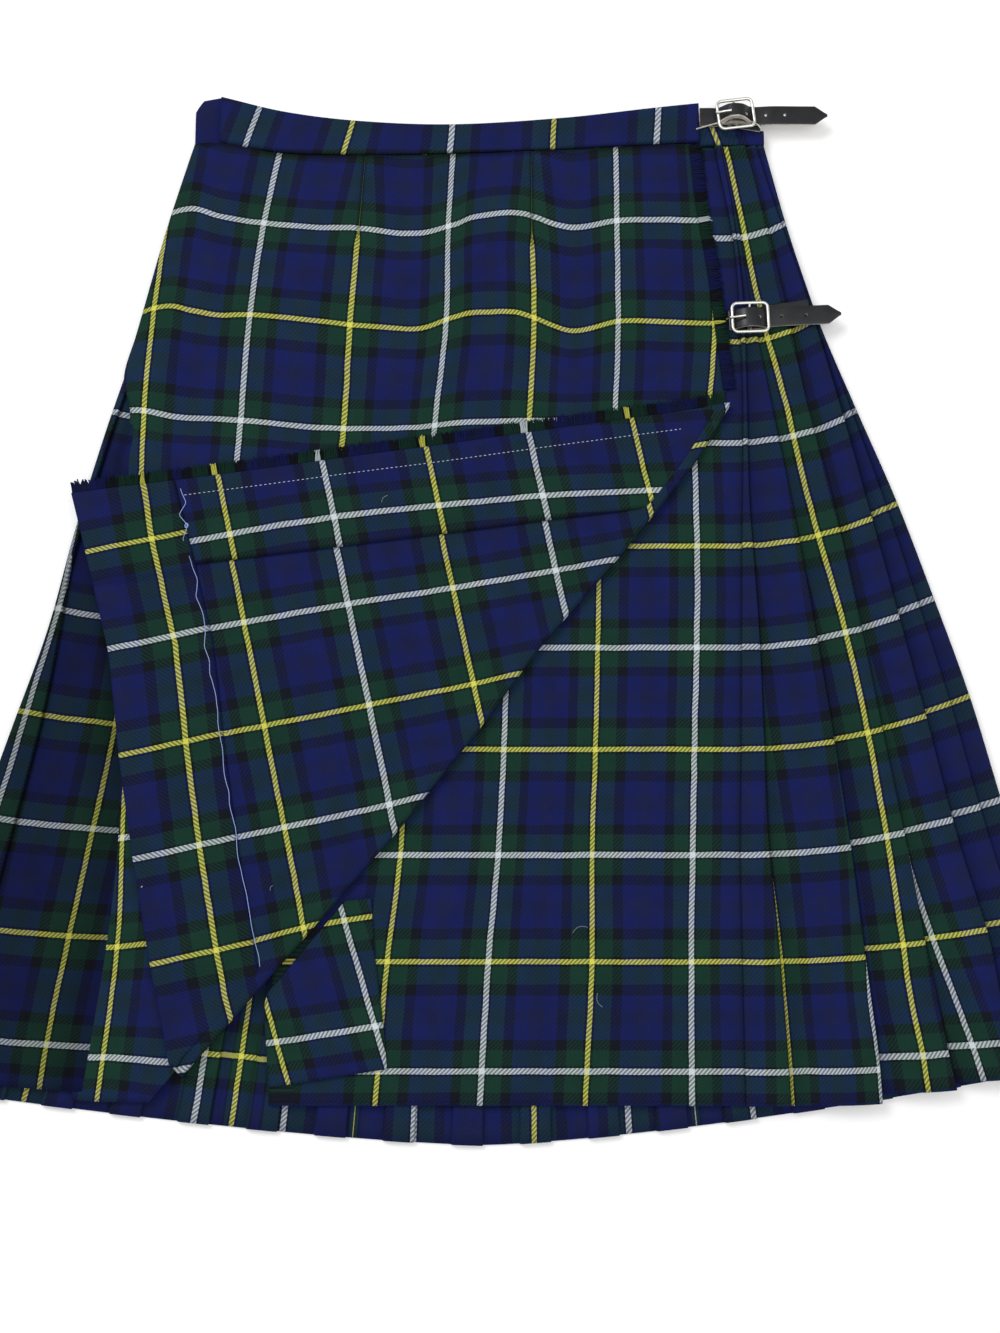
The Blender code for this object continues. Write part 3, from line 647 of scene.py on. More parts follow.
def make_over_apron(look):
    """The over apron: the flat, fringed end of the cloth that lies on top."""
    fold_start = WAIST_Y - FOLD_LINE[0][1]
    rows = 150
    spans = (56, 1, 56, 1, 56)
    def columns_at(length):
        first = curve(CREASES, 2, length)
        if length <= fold_start:
            edge_end = APRON_EDGE[-1][0]
            last = curve(APRON_EDGE, 1, min(length, edge_end)) - 0.0004 * (length > edge_end)
        else:
            last = curve(FOLD_LINE, 0, WAIST_Y - length, key=1) - ROLL - 0.0018
        y = WAIST_Y - length
        stops = [first]
        for line, tip, intake in DARTS:
            middle = curve(APRON_WARPS, line + 1, y)
            stops += [middle - DART_GAP, middle + DART_GAP]
        stops.append(last)
        for index in range(1, len(stops)):
            stops[index] = max(stops[index], stops[index - 1])
        limited = [min(stop, last) for stop in stops]
        xs = []
        for a, b, count in zip(limited, limited[1:], spans):
            xs += [a + (b - a) * i / count for i in range(count)]
        return xs + [last]
    cache = {}
    def point(s, t):
        length = APRON_HEM * t / rows
        if t not in cache:
            cache[t] = (columns_at(length), apron_pairs(WAIST_Y - length))
        xs, pairs = cache[t]
        x = xs[s]
        y = over_place(x, length)
        lift, painted_shade = dart_relief(x, y)
        side = smooth((x - xs[0]) / 0.012)
        over_pleats = 1 - smooth((length - 0.160) / 0.040)
        puff = 0.0016 * (1 - side) * smooth(length / 0.25) * (1 - over_pleats)
        edge_drop = 0.40 + 0.60 * smooth((x - xs[0]) / 0.005)
        reach = smooth((left_inner(length) + 0.040 - x) / 0.022)
        climb = 0.5 + 0.5 * smooth(length / 0.040)
        puff -= 0.0032 * over_pleats * edge_drop * reach * climb
        tuck = smooth(length / 0.010)
        z = OVER_Z + over_lift(x, y) + lift * smooth((y - 0.175) / 0.02) - puff
        z += 0.0006 * tuck * (1 - smooth((length - 0.010) / 0.03))
        # Painted shade along the waist seam, under the band's edge.
        painted_shade = max(painted_shade, 0.9 * (1 - smooth(length / 0.004)))
        return (x, y, z), (place_between(pairs, x), apron_weft(x, y)), painted_shade
    return cloth("over_apron_cloth", sum(spans), rows, point, look)


def make_under_apron(look):
    rows = 130
    columns = 100
    def point(s, t):
        length = HEM * t / rows
        last = curve(CREASES, 1, length) + 0.0016
        x = UNDER_LEFT + (last - UNDER_LEFT) * s / columns
        y = WAIST_Y - length
        z = UNDER_Z + ridge_lift(UNDER_RIDGES, x, y) + laid_lift(x, y)
        pairs = lines_at(UNDER_WARPS, UNDER_WARP_PLACES, y)
        warp = max(place_between(pairs, x), -0.118)
        return (x, y, z), (warp, place_between(UNDER_WEFTS, y)), 0.0
    return cloth("under_apron_cloth", columns, rows, point, look)


def round_path(points, cut):
    """A path of (across, height, warp) with each corner turned into a small arc of three points."""
    made = [points[0]]
    for before, corner, after in zip(points, points[1:], points[2:]):
        reach_a = math.dist(before[:2], corner[:2])
        reach_b = math.dist(corner[:2], after[:2])
        a = min(cut, reach_a * 0.45) / max(reach_a, 1e-9)
        b = min(cut, reach_b * 0.45) / max(reach_b, 1e-9)
        start = [c + (p - c) * a for c, p in zip(corner, before)]
        end = [c + (p - c) * b for c, p in zip(corner, after)]
        middle = [(p + 2 * c + q) / 4 for p, c, q in zip(start, corner, end)]
        made += [start, middle, end]
    made.append(points[-1])
    return made


def strip(start, edge, low, high, puff, warp, count):
    """The shown part of one pleat, from where it comes out to its folded edge."""
    points = []
    for i in range(count + 1):
        share = i / count
        across = start + (edge - start) * share
        rise = low + (high - low) * smooth(share * 1.15)
        crown = puff * math.sin(math.pi * min(share * 0.86 + 0.02, 1.0)) ** 1.3
        points.append((across, rise + crown, warp(across)))
    return points


def fold_under(edge, depth, low, high, warp):
    """The hidden turn of a pleat below its edge."""
    middle = (low + high) / 2
    reach = CLOTH + CLEAR
    return [
        (edge, middle, warp(edge)),
        (edge - depth, middle, warp(edge) + 0.001),
        (edge - depth, low, warp(edge) + 0.002),
        (edge + reach * 0.6, low, warp(edge) + 0.003),
    ]


def depth_for(width, longest):
    return max(0.0005, min(0.42 * width - 0.0014, longest))


def make_right_side(look):
    """The right side's pleats, whose folded edges face right."""
    rows = 130
    cache = {}
    def path_at(length):
        first = curve(CREASES, 1, length)
        last = curve(OUTLINE, 3, length)
        part = length / HEM
        stepped = [0.0, 0.0] + [curve(RIGHT_STEPS, i, length) for i in (1, 2, 3)] + [0.0]
        edges = []
        heights = []
        for index in range(4):
            x = curve(RIGHT_EDGES, index + 1, WAIST_Y - length)
            for repeat in range(2):
                y = WAIST_Y - length + side_rise(x, first, length) + sum(stepped[:index + 1])
                x = curve(RIGHT_EDGES, index + 1, y)
            edges.append(max(x, (edges or [first])[-1] + 0.0013))
            heights.append(y)
        edges.append(edges[-1] + (last - edges[-1]) * LAST_EDGE_SHARE)
        widths = [b - a for a, b in zip([first] + edges, edges)]
        white = curve(RIGHT_STRIPES, 1, heights[0])
        second = curve(RIGHT_STRIPES, 2, heights[0])
        third = curve(RIGHT_STRIPES, 3, heights[1])
        long_yellow = curve(RIGHT_STRIPES, 4, (heights[1] + heights[2]) / 2)
        fourth = curve(RIGHT_STRIPES, 5, heights[2] + stepped[3])
        warps = (
            lambda x: 0.132 + (x - white) * 1.03,
            lambda x: 0.066 + HALF_SETT * (x - second) / (third - second),
            lambda x: 0.066 + (x - long_yellow) * 1.05,
            lambda x: 0.132 + (x - fourth) * 1.12,
            lambda x: 0.150 + (x - edges[3]),
            lambda x: 0.155 + (x - edges[4]),
        )
        low = UNDER_Z
        high = PLEAT_TOP_Z
        grow = smooth(part * 1.4)
        hidden = max(0.0008, 0.35 * widths[0] - 0.0006)
        path = [(first + hidden, high - LAYER, warps[0](first)), (first, high - LAYER, warps[0](first))]
        start = first
        base = high
        for index, edge in enumerate(edges):
            puff = RIGHT_PUFFS[index] * grow
            depth = depth_for(widths[index], PLEAT_DEPTH)
            path += strip(start, edge, base, high + puff * 0.35, puff, warps[index], 12)
            path += fold_under(edge, depth, low, high, warps[index])
            start = edge + CLOTH * 0.3
            base = low + 0.0008
        path += strip(start, last - 0.0022, base, high - 0.0006, 0.0010 * grow, warps[5], 10)
        path += [(last - 0.0008, high - 0.0018, warps[5](last)),
                 (last - CLOTH / 2, low - 0.0004, warps[5](last) + 0.002)]
        return first, last, edges, path
    def point(s, t):
        length = HEM * t / rows
        if t not in cache:
            first, last, edges, path = path_at(length)
            cache[t] = (first, last, edges, round_path(path, PLEAT_ROUNDING))
        first, last, edges, path = cache[t]
        across, height, warp = path[s]
        step = 0.0
        painted_shade = 0.0
        for index, edge in enumerate(edges):
            past = across - edge
            if past > 0.0002 and 1 <= index <= 3:
                step += curve(RIGHT_STEPS, index, length)
            # Painted shade beside each folded edge, on the side its shadow falls: a narrow dark line and a
            # wider soft band.
            if past >= -0.0002:
                painted_shade = max(painted_shade, math.exp(-(max(past, 0.0) / 0.0030) ** 2))
                painted_shade = max(painted_shade, 0.45 * math.exp(-(max(past, 0.0) / 0.0100) ** 2))
        y = WAIST_Y - length + side_rise(across, first, length) + step
        z = height + laid_lift(across, y) * smooth((last - across) / 0.02)
        painted_shade *= smooth(length / 0.2) * 0.7
        return (across, y, z), (warp, place_between(RIGHT_WEFTS, length)), painted_shade
    count = len(round_path(path_at(0.3)[3], PLEAT_ROUNDING)) - 1
    return cloth("right_side_cloth", count, rows, point, look)


def make_left_side(look):
    """The left side's pleats, which slip under the fold of the over apron."""
    rows = 130
    cache = {}
    def path_at(length):
        last = curve(OUTLINE, 1, length)
        inner = left_inner(length)
        y = WAIST_Y - length
        edge = curve(LEFT_STRIPES, 1, max(min(y, 0.120), -0.272)) + 0.128 * max(y - 0.120, 0.0)
        edge = min(max(edge, last + 0.0045), inner - 0.0042)
        white = curve(LEFT_STRIPES, 2, min(y, 0.120))
        yellow = curve(LEFT_STRIPES, 3, min(y, 0.120))
        outer = lambda x: 0.132 + (x - white) * 1.05
        middle = lambda x: 0.066 + (x - yellow) * 1.04
        low = UNDER_Z
        high = PLEAT_TOP_Z - 0.0014 * (1 - smooth(length / 0.060))
        grow = smooth(length / 0.35) * smooth((length - 0.150) / 0.080)
        path = [(last + CLOTH / 2, low - 0.0004, outer(last) - 0.002),
                (last + 0.0008, high - 0.0018, outer(last))]
        depth = depth_for(edge - last, PLEAT_DEPTH)
        path += strip(last + 0.0030, edge, high - 0.0004, high + 0.0006 * grow, 0.0016 * grow, outer, 12)
        path += fold_under(edge, depth, low, high, outer)
        path += strip(edge + CLOTH * 0.3, inner + 0.016, low + 0.0004, low, 0.0014 * grow, middle, 18)
        return last, inner, edge, path
    def point(s, t):
        length = LEFT_HEM * t / rows
        if t not in cache:
            last, inner, edge, path = path_at(length)
            cache[t] = (last, inner, edge, round_path(path, PLEAT_ROUNDING))
        last, inner, edge, path = cache[t]
        across, height, warp = path[s]
        # Painted shade: darker beside the pleat's edge and where the pleats slip under the over apron, and
        # the whole lower part of this side darker for the shade it lies in.
        painted_shade = math.exp(-((across - edge - 0.0005) / 0.0024) ** 2) if across > edge - 0.0002 else 0.0
        close = math.exp(-((across - inner) / 0.006) ** 2)
        height -= 0.0012 * close * (height > UNDER_Z + 0.0012)
        y = WAIST_Y - length + left_rise(across, length)
        z = height + laid_lift(across, y) * smooth((across - last) / 0.02)
        shade = 0.58 * smooth((length - 0.18) / 0.10)
        shade += 0.25 * math.exp(-((across - inner) / 0.014) ** 2)
        return (across, y, z), (warp, length - LEFT_WEFT_START), max(painted_shade * 0.9, close * 0.7, shade)
    count = len(round_path(path_at(0.3)[3], PLEAT_ROUNDING)) - 1
    return cloth("left_side_cloth", count, rows, point, look)


def back_y(across, length):
    left = curve(OUTLINE, 1, length)
    right = curve(OUTLINE, 3, length)
    middle = (left + right) / 2
    share = min(abs(across - middle) / ((right - left) / 2), 1.0) ** 1.4
    side = 4 if across > middle else 2
    rise = curve(OUTLINE, side, length) * share
    return WAIST_Y - length + rise - HEM_DIP * length / HEM * (1.0 - share)


def back_warp(across, length):
    spread = (curve(OUTLINE, 3, length) - curve(OUTLINE, 1, length)) / HEM_WIDTH
    hem_x = across / spread
    x, place = min(BACK_STRIPES, key=lambda row: abs(row[0] - hem_x))
    return place + hem_x - x


def make_back(look):
    """The pleated back: knife pleats whose edges face left, flat on the surface."""
    rows = 70
    cache = {}
    def path_at(length):
        left = curve(OUTLINE, 1, length)
        right = curve(OUTLINE, 3, length)
        width = (right - left - 2 * BACK_INSET) / BACK_PLEATS
        depth = depth_for(width, BACK_DEPTH)
        def spot(x, z):
            return (x, z, back_warp(x, length))
        path = [spot(right - CLOTH / 2, 0.0042), spot(right - 0.0012, 0.0020),
                spot(right - 0.004, BACK_LOW)]
        start = right - 0.004
        for i in range(BACK_PLEATS):
            edge = right - BACK_INSET - width * (i + 0.9)
            path += [spot(start + (edge - start) * s, BACK_LOW) for s in (0.3, 0.6, 1.0)]
            path.append(spot(edge, BACK_LOW + LAYER))
            path.append(spot(edge + depth, BACK_LOW + LAYER))
            path.append(spot(edge + depth, BACK_LOW + 2 * LAYER))
            path.append(spot(edge + depth * 0.4, BACK_LOW + 2 * LAYER))
            path.append(spot(edge - CLOTH - CLEAR, BACK_LOW + 2 * LAYER))
            path.append(spot(edge - CLOTH - CLEAR - 0.0012, BACK_LOW))
            start = edge - CLOTH - CLEAR - 0.0012
        return path + [spot(left + 0.004, BACK_LOW), spot(left + 0.0012, 0.0020),
                       spot(left + CLOTH / 2, 0.0042)]
    def point(s, t):
        length = HEM * t / rows
        if t not in cache:
            cache[t] = round_path(path_at(length), BACK_ROUNDING)
        across, height, warp = cache[t][s]
        return (across, back_y(across, length), height), (warp, length - BACK_WEFT_START), 0.0
    count = len(round_path(path_at(0.3), BACK_ROUNDING)) - 1
    return cloth("pleated_back_cloth", count, rows, point, look)


# The turned-up corner


def corner_row(part):
    return path_point(CORNER_HEM, part), path_point(FOLD_LINE, part)


def corner_spot(across, height, part):
    hem, fold = corner_row(part)
    way = (fold - hem).normalized()
    point = hem + way * across
    climb = smooth((TIP_START_X - point.x) / TIP_RUN)
    lift = over_lift(point.x, point.y) + TIP_LIFT * climb
    return Vector((point.x, point.y, height + lift + corner_relief(point.x, point.y)))


def corner_relief(x, y):
    """The turned-up corner's own soft waves, more where it nears the fold."""
    unfolded = mirrored(x, y)
    wave = 0.5 + 0.5 * math.sin(unfolded.x * 62.0 + unfolded.y * 21.0 + 0.6)
    return 0.0009 * wave + unevenness(x, y, 0.05, 0.0009)


def flap_threads(x, y):
    unfolded = mirrored(x, y)
    pairs = lines_at(FLAP_WARPS, FLAP_WARP_PLACES, max(min(unfolded.y, 0.12), -0.262))
    return place_between(pairs, unfolded.x), place_between(FLAP_WEFTS, unfolded.y)


def make_corner(look):
    """The lower corner of the over apron, folded up and back, with its soft roll."""
    rows = 130
    flat_columns = 84
    roll_columns = 28
    def point(s, t):
        part = 0.985 * t / rows
        hem, fold = corner_row(part)
        way = (fold - hem).normalized()
        reach = (fold - hem).length
        scale = min(1.0, reach * 0.8 / ROLL_START)
        if s <= flat_columns:
            across = (reach - ROLL_START * scale) * s / flat_columns
            height = CORNER_Z
            along = across
        else:
            step = 7.0 * (s - flat_columns) / roll_columns
            distance = curve(ROLL_PROFILE, 1, step)
            rise = curve(ROLL_PROFILE, 2, step)
            across = reach + distance * (scale if step < 2.5 else max(scale, 0.3))
            height = OVER_Z + rise
            along = across if step < 4.5 else reach + 0.0012 * (step - 4.5) * 2.0
        spot = corner_spot(across, height, part)
        # The part of the roll that turns under loses the corner's waves and is painted darker, as painted
        # shade.
        under = smooth((s - flat_columns - 22) / 6)
        spot.z -= under * corner_relief(spot.x, spot.y)
        cloth_spot = hem + way * along
        warp, weft = flap_threads(cloth_spot.x, cloth_spot.y)
        weft += 2 * HALF_SETT
        if along < HEM_TURNUP:
            warp, weft = turnup_threads(cloth_spot.x, cloth_spot.y, along, part)
        return spot, (warp, weft), under
    return cloth("turned_corner_cloth", flat_columns + roll_columns, rows, point, look)


def turnup_threads(x, y, across, part):
    unfolded = mirrored(x, y)
    pairs = lines_at(FLAP_WARPS, FLAP_WARP_PLACES, -0.215)
    line = 0.0425 + 0.0035 * (1 - smooth(part / 0.12)) + 0.0035 * smooth((part - 0.85) / 0.12)
    return place_between(pairs, unfolded.x), 0.554 + across * 0.040 / line


def on_corner(name, columns, rows, spread, threads, look):
    """A layer that lies on the turned-up corner. spread(s, t) gives its (distance, part)."""
    def point(s, t):
        across, part, extra, painted_shade = spread(s / columns, t / rows)
        hem, fold = corner_row(part)
        reach = (fold - hem).length
        bend = smooth((across - reach + ROLL_START) / 0.024) * 0.0011
        spot = corner_spot(across, CORNER_Z + FACING_STEP + extra + bend, part)
        return spot, threads(spot.x, spot.y, across, part), painted_shade
    return cloth(name, columns, rows, point, look, thickness=0.0009)


def make_hem_turnup(look):
    """The hem turned to the inside, with the facing's edge showing through it."""
    edge_share = (EDGE_FACING + 0.003) / path_length(CORNER_HEM)
    def spread(s, t):
        part = 0.002 + 0.978 * t
        hem, fold = corner_row(part)
        reach = (fold - hem).length
        width = min(HEM_TURNUP, max(reach - 0.008, reach * 0.55))
        across = 0.0004 + (width - 0.0004) * s
        soft = smooth((width - across) / 0.0016)
        step = 0.0007 * (1 - smooth((part - edge_share) / 0.006))
        # Painted shade along the turned-up hem's edge and beside the end of the facing.
        painted_shade = math.exp(-((width - across) / 0.0010) ** 2) * 0.6
        painted_shade = max(painted_shade, 0.35 * math.exp(-((part - edge_share - 0.004) / 0.006) ** 2))
        painted_shade *= smooth((reach - 0.020) / 0.020)
        return across, part, step - 0.0005 * (1 - soft), painted_shade
    return on_corner("hem_turnup_cloth", 26, 130, spread, turnup_threads, look)


def make_facing(look):
    """The facing inside the fringed edge."""
    share = EDGE_FACING / path_length(CORNER_HEM)
    def spread(s, t):
        part = 0.002 + (share - 0.002) * t
        hem, fold = corner_row(part)
        reach = (fold - hem).length
        across = HEM_TURNUP + SEAM + (reach - 0.008 - HEM_TURNUP) * s
        soft = smooth((1 - t) / 0.05)
        # Painted shade at the facing's end along the hem.
        return across, part, -0.0004 * (1 - soft), 0.7 * (1 - smooth((1 - t) / 0.03))
    def threads(x, y, across, part):
        unfolded = mirrored(x, y)
        away = curve(FRINGE_EDGE, 1, unfolded.y) - unfolded.x
        return 0.264 - (away - 0.052), place_between(FLAP_WEFTS, unfolded.y) + 0.0024
    return on_corner("edge_facing_cloth", 110, 20, spread, threads, look)


def make_inner_fold(look):
    """The inner edge of the deep pleat, which shows below the turned-up corner."""
    rows_table = (
        # share, left x, left y, right x, right y
        (0.0, -0.0955, -0.1475, -0.0800, -0.1460),
        (0.25, -0.1330, -0.1920, -0.0770, -0.1800),
        (0.5, -0.1440, -0.2080, -0.0750, -0.1960),
        (0.75, -0.1430, -0.2340, -0.0715, -0.2230),
        (1.0, -0.1410, -0.2600, -0.0690, -0.2490),
    )
    level = UNDER_Z + CLOTH + CLEAR
    def point(s, t):
        share = t / 44
        left_x, left_y, right_x, right_y = [curve(rows_table, i, share) for i in (1, 2, 3, 4)]
        part = s / 30
        x = left_x + (right_x - left_x) * part
        y = left_y + (right_y - left_y) * part
        crown = 0.0008 * math.sin(math.pi * part) ** 0.6
        z = level + ridge_lift(UNDER_RIDGES, x, y) + laid_lift(x, y) + crown
        white = -0.0915 - 0.155 * (y + 0.150)
        warp = 0.132 + (x - white) * 1.05 + 0.16 * (y + 0.2)
        weft = 0.066 + (-0.158 - y + 0.155 * (x + 0.086)) * 0.985
        return (x, y, z), (warp, weft), 0.0
    return cloth("inner_fold_cloth", 30, 44, point, look)


# Waistbands


def band_point(x, top, seam, low, thickness, share):
    """A point of a folded waistband: up its back, over its top edge and down its front."""
    height = top - seam
    half = thickness / 2 - 0.0002
    middle = low + thickness / 2 + 0.0001
    if share < 0.46:
        part = share / 0.46
        return (x, seam + 0.0004 + (height - half) * part, middle - half * smooth(part * 6 + 0.2))
    if share < 0.54:
        angle = math.pi * (share - 0.46) / 0.08
        return (x, top - half + half * math.sin(angle), middle - half * math.cos(angle))
    part = (1.0 - share) / 0.46
    full = 1.0 + 0.12 * math.sin(math.pi * min(part, 1.0))
    drop = 0.55 * half * (1 - smooth(part * 9))
    return (x, seam + 0.0001 + (height - half) * part, middle + half * full - drop)


def make_band(name, columns, rows, look, outline, low, threads):
    def point(s, t):
        x, top, seam, thickness = outline(s / columns)
        spot = Vector(band_point(x, top, seam, low, thickness - 0.0006, t / rows))
        front = smooth((t / rows - 0.5) * 6)
        spot.z += front * unevenness(x, spot.y, 0.014, 0.00045)
        # Painted shade where the band's front edge meets the cloth below it.
        painted_shade = 1 - smooth((1 - t / rows) / 0.05)
        return spot, threads(spot.x, spot.y), painted_shade * 0.9
    return cloth(name, columns, rows, point, look, thickness=0.0006)


def make_bands(look):
    """The front waistband, its inner half and the waistband of the back."""
    band_lines = ((-0.1660, -0.132), (-0.1000, -0.066), (-0.0320, 0.0), (0.0355, 0.066), (0.1045, 0.132))
    def front_outline(share):
        x = BAND_TOP[0][0] + (BAND_TOP[-1][0] - BAND_TOP[0][0]) * share
        return x, curve(BAND_TOP, 1, x), curve(BAND_TOP, 2, x), BAND
    def front_threads(x, y):
        lean = (y - 0.358) * (0.28 * smooth((0.0 - x) / 0.15) + 0.06)
        return place_between(band_lines, x - lean), 0.022 + (0.375 - y) * 0.8
    def inner_outline(share):
        x = INNER_BAND[0][0] + (INNER_BAND[-1][0] - INNER_BAND[0][0]) * share
        top = place_between([(row[0], row[1]) for row in INNER_BAND], x)
        thickness = place_between([(row[0], row[2]) for row in INNER_BAND], x)
        return x, top, WAIST_Y + SEAM, max(thickness, INNER_BAND[0][2])
    def inner_threads(x, y):
        return 0.066 + (x - 0.1424 + (y - 0.357) * 0.34), 0.030 + (0.375 - y) * 0.6
    def back_outline(share):
        x = BACK_BAND[0][0] + (BACK_BAND[-1][0] - BACK_BAND[0][0]) * share
        top = place_between([(row[0], row[1]) for row in BACK_BAND], x)
        return x, top, WAIST_Y + SEAM, BACK_TOP / 1.12
    def back_threads(x, y):
        return 0.100 + x * 1.02, 0.030 + (0.375 - y) * 0.6
    front = make_band("front_band_cloth", 150, 40, look, front_outline, OVER_Z - CLOTH / 2, front_threads)
    inner = make_band("inner_band_cloth", 120, 30, look, inner_outline, BACK_TOP + CLEAR, inner_threads)
    back = make_band("back_band_cloth", 150, 30, look, back_outline, 0.0, back_threads)
    return front, inner, back


# Fringes and sewing


def make_fringe(name, root, way, weft_at, length, look, seed):
    """Loose weft threads past the last sewn line, in two rows, bent a little each way."""
    sizes = bpy.context.scene.kilt_sizes
    shape = bmesh.new()
    weave = shape.loops.layers.uv.new("weave")
    painted_shade = shape.verts.layers.float.new("painted_shade")
    places = {}
    count = int(length / sizes.fringe_pitch)
    for row in range(3):
        for i in range(count):
            share = (i + 0.5 + 0.3 * noise.noise(Vector((i * 0.9, row * 7.1, seed)))) / count
            share = min(max(share, 0.0), 1.0)
            base = root(share)
            out = way(share)
            side = out.cross(Vector((0.0, 0.0, 1.0)))
            lean = noise.noise(Vector((i * 0.37, row * 3.3, seed + 5.0)))
            curl = noise.noise(Vector((i * 0.83, row * 1.9, seed + 9.0)))
            reach = sizes.fringe_length * (0.82 + 0.30 * noise.noise(Vector((i * 0.61, row, seed + 2.0))))
            wide = 0.00075
            grown = bmesh.ops.create_grid(shape, x_segments=1, y_segments=4, size=0.5)["verts"]
            for vert in grown:
                part = vert.co.y + 0.5
                across = vert.co.x * 2.0
                spot = base - out * 0.0012 + out * (reach * part)
                spot += side * (lean * 0.0034 * part * part + across * wide * (1.0 - 0.55 * part))
                spot.z += 0.0002 + row * 0.00045 + curl * 0.0011 * part + 0.0003 * abs(across)
                spot.z = max(spot.z, 0.0012)
                vert.co = spot
                # Painted shade, darker towards each thread's root.
                vert[painted_shade] = 0.25 * (1 - part)
                places[vert] = (0.03, weft_at(share))
    for face in shape.faces:
        for loop in face.loops:
            loop[weave].uv = places[loop.vert]
    made = keep(name, shape, look)
    wall = made.modifiers.new("thread_thickness", "SOLIDIFY")
    wall.thickness = 0.0005
    wall.offset = 0.0
    return made


def corner_edge(share):
    hem, fold = corner_row(0.0)
    reach = (fold - hem).length
    return corner_spot(0.001 + (reach - 0.008) * share, CORNER_Z + 0.0003, 0.0)


def make_fringes(look):
    def apron_root(share):
        length = 0.002 + APRON_FRINGE * share
        x = curve(APRON_EDGE, 1, length)
        y = over_place(x, length)
        return Vector((x, y, OVER_Z + over_lift(x, y)))
    def apron_way(share):
        step = apron_root(min(share + 0.01, 1.0)) - apron_root(max(share - 0.01, 0.0))
        return Vector((-step.y, step.x, 0.0)).normalized()
    def apron_weft_at(share):
        spot = apron_root(share)
        return apron_weft(spot.x, spot.y)
    def corner_way(share):
        hem, fold = corner_row(0.0)
        way = (fold - hem).normalized()
        return Vector((-way.y, way.x, 0.0))
    def corner_weft_at(share):
        spot = corner_edge(share)
        across = (spot.xy - CORNER_START).length
        if across < HEM_TURNUP:
            return turnup_threads(spot.x, spot.y, across, 0.0)[1]
        return flap_threads(spot.x, spot.y)[1]
    hem, fold = corner_row(0.0)
    first = make_fringe("apron_fringe_threads", apron_root, apron_way, apron_weft_at,
                        APRON_FRINGE, look, 1.0)
    second = make_fringe("corner_fringe_threads", corner_edge, corner_way, corner_weft_at,
                         (fold - hem).length, look, 4.0)
    return first, second


def corner_top(x_share, part):
    """Point on top of the layers along the fringed edge of the corner."""
    hem, fold = corner_row(part)
    reach = (fold - hem).length
    return corner_spot(x_share * reach, CORNER_Z + FACING_STEP + 0.0007, part)


def make_edge_stitches(look):
    """The machine stitching that holds the facing along the fringed edge."""
    sizes = bpy.context.scene.kilt_sizes
    hem, fold = corner_row(0.0)
    reach = (fold - hem).length
    count = int(reach * 0.80 / sizes.stitch_pitch)
    share = 0.0110 / path_length(CORNER_HEM)
    shape = bmesh.new()
    for i in range(count):
        at = 0.17 + 0.80 * i / count
        middle = corner_top(at, share)
        ahead = corner_top(at + 0.002, share)
        turn = math.atan2(ahead.y - middle.y, ahead.x - middle.x)
        matrix = Matrix.Translation(middle) @ Matrix.Rotation(turn, 4, "Z")
        matrix = matrix @ Matrix.Diagonal((0.0010, 0.00028, 0.00022, 1.0))
        bmesh.ops.create_icosphere(shape, subdivisions=1, radius=1.0, matrix=matrix)
    return keep("edge_stitches", shape, look)


HEM_THREAD = (
    # x, y of the loose hand stitching along the turned-up hem, wavering as it was pulled
    (-0.2040, 0.1130),
    (-0.2010, 0.1040),
    (-0.2045, 0.0960),
    (-0.1995, 0.0890),
    (-0.2020, 0.0800),
    (-0.1980, 0.0700),
    (-0.1955, 0.0620),
    (-0.1920, 0.0540),
    (-0.1925, 0.0430),
    (-0.1880, 0.0330),
    (-0.1860, 0.0210),
    (-0.1865, 0.0110),
    (-0.1830, 0.0020),
    (-0.1825, -0.0070),
    (-0.1790, -0.0180),
    (-0.1770, -0.0290),
    (-0.1765, -0.0410),
    (-0.1735, -0.0520),
    (-0.1720, -0.0680),
    (-0.1690, -0.0800),
    (-0.1672, -0.0920),
    (-0.1640, -0.1030),
    (-0.1625, -0.1200),
    (-0.1590, -0.1330),
    (-0.1550, -0.1490),
    (-0.1525, -0.1640),
    (-0.1480, -0.1810),
    (-0.1462, -0.1950),
)


def corner_height(x, y):
    """Height of the top of the turned-up corner's layers at a place, outside its roll."""
    climb = smooth((TIP_START_X - x) / TIP_RUN)
    lift = over_lift(x, y) + TIP_LIFT * climb + corner_relief(x, y)
    return CORNER_Z + FACING_STEP + 0.0006 + lift


def wire(name, kind, points, radius, roundness):
    """A round wire through points, and its run of points to be finished as a thread or a bar."""
    line = bpy.data.curves.new(name, "CURVE")
    line.dimensions = "3D"
    line.bevel_depth = radius
    line.bevel_resolution = roundness
    run = line.splines.new(kind)
    run.points.add(len(points) - 1)
    for point, place in zip(run.points, points):
        point.co = (place[0], place[1], place[2], 1.0)
    return line, run


def keep_wire(name, line, look):
    """Turns a finished wire into a piece. Its settings come first, or its bounds stay unset."""
    line.materials.append(look)
    made = bpy.data.objects.new(name, line)
    bpy.context.scene.collection.objects.link(made)
    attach(made, "root")
    return made


def thread_curve(name, points, radius, look):
    """A sewn thread as a round curve through points."""
    line, run = wire(name, "NURBS", points, radius, 1)
    run.use_endpoint_u = True
    run.order_u = 3
    return keep_wire(name, line, look)


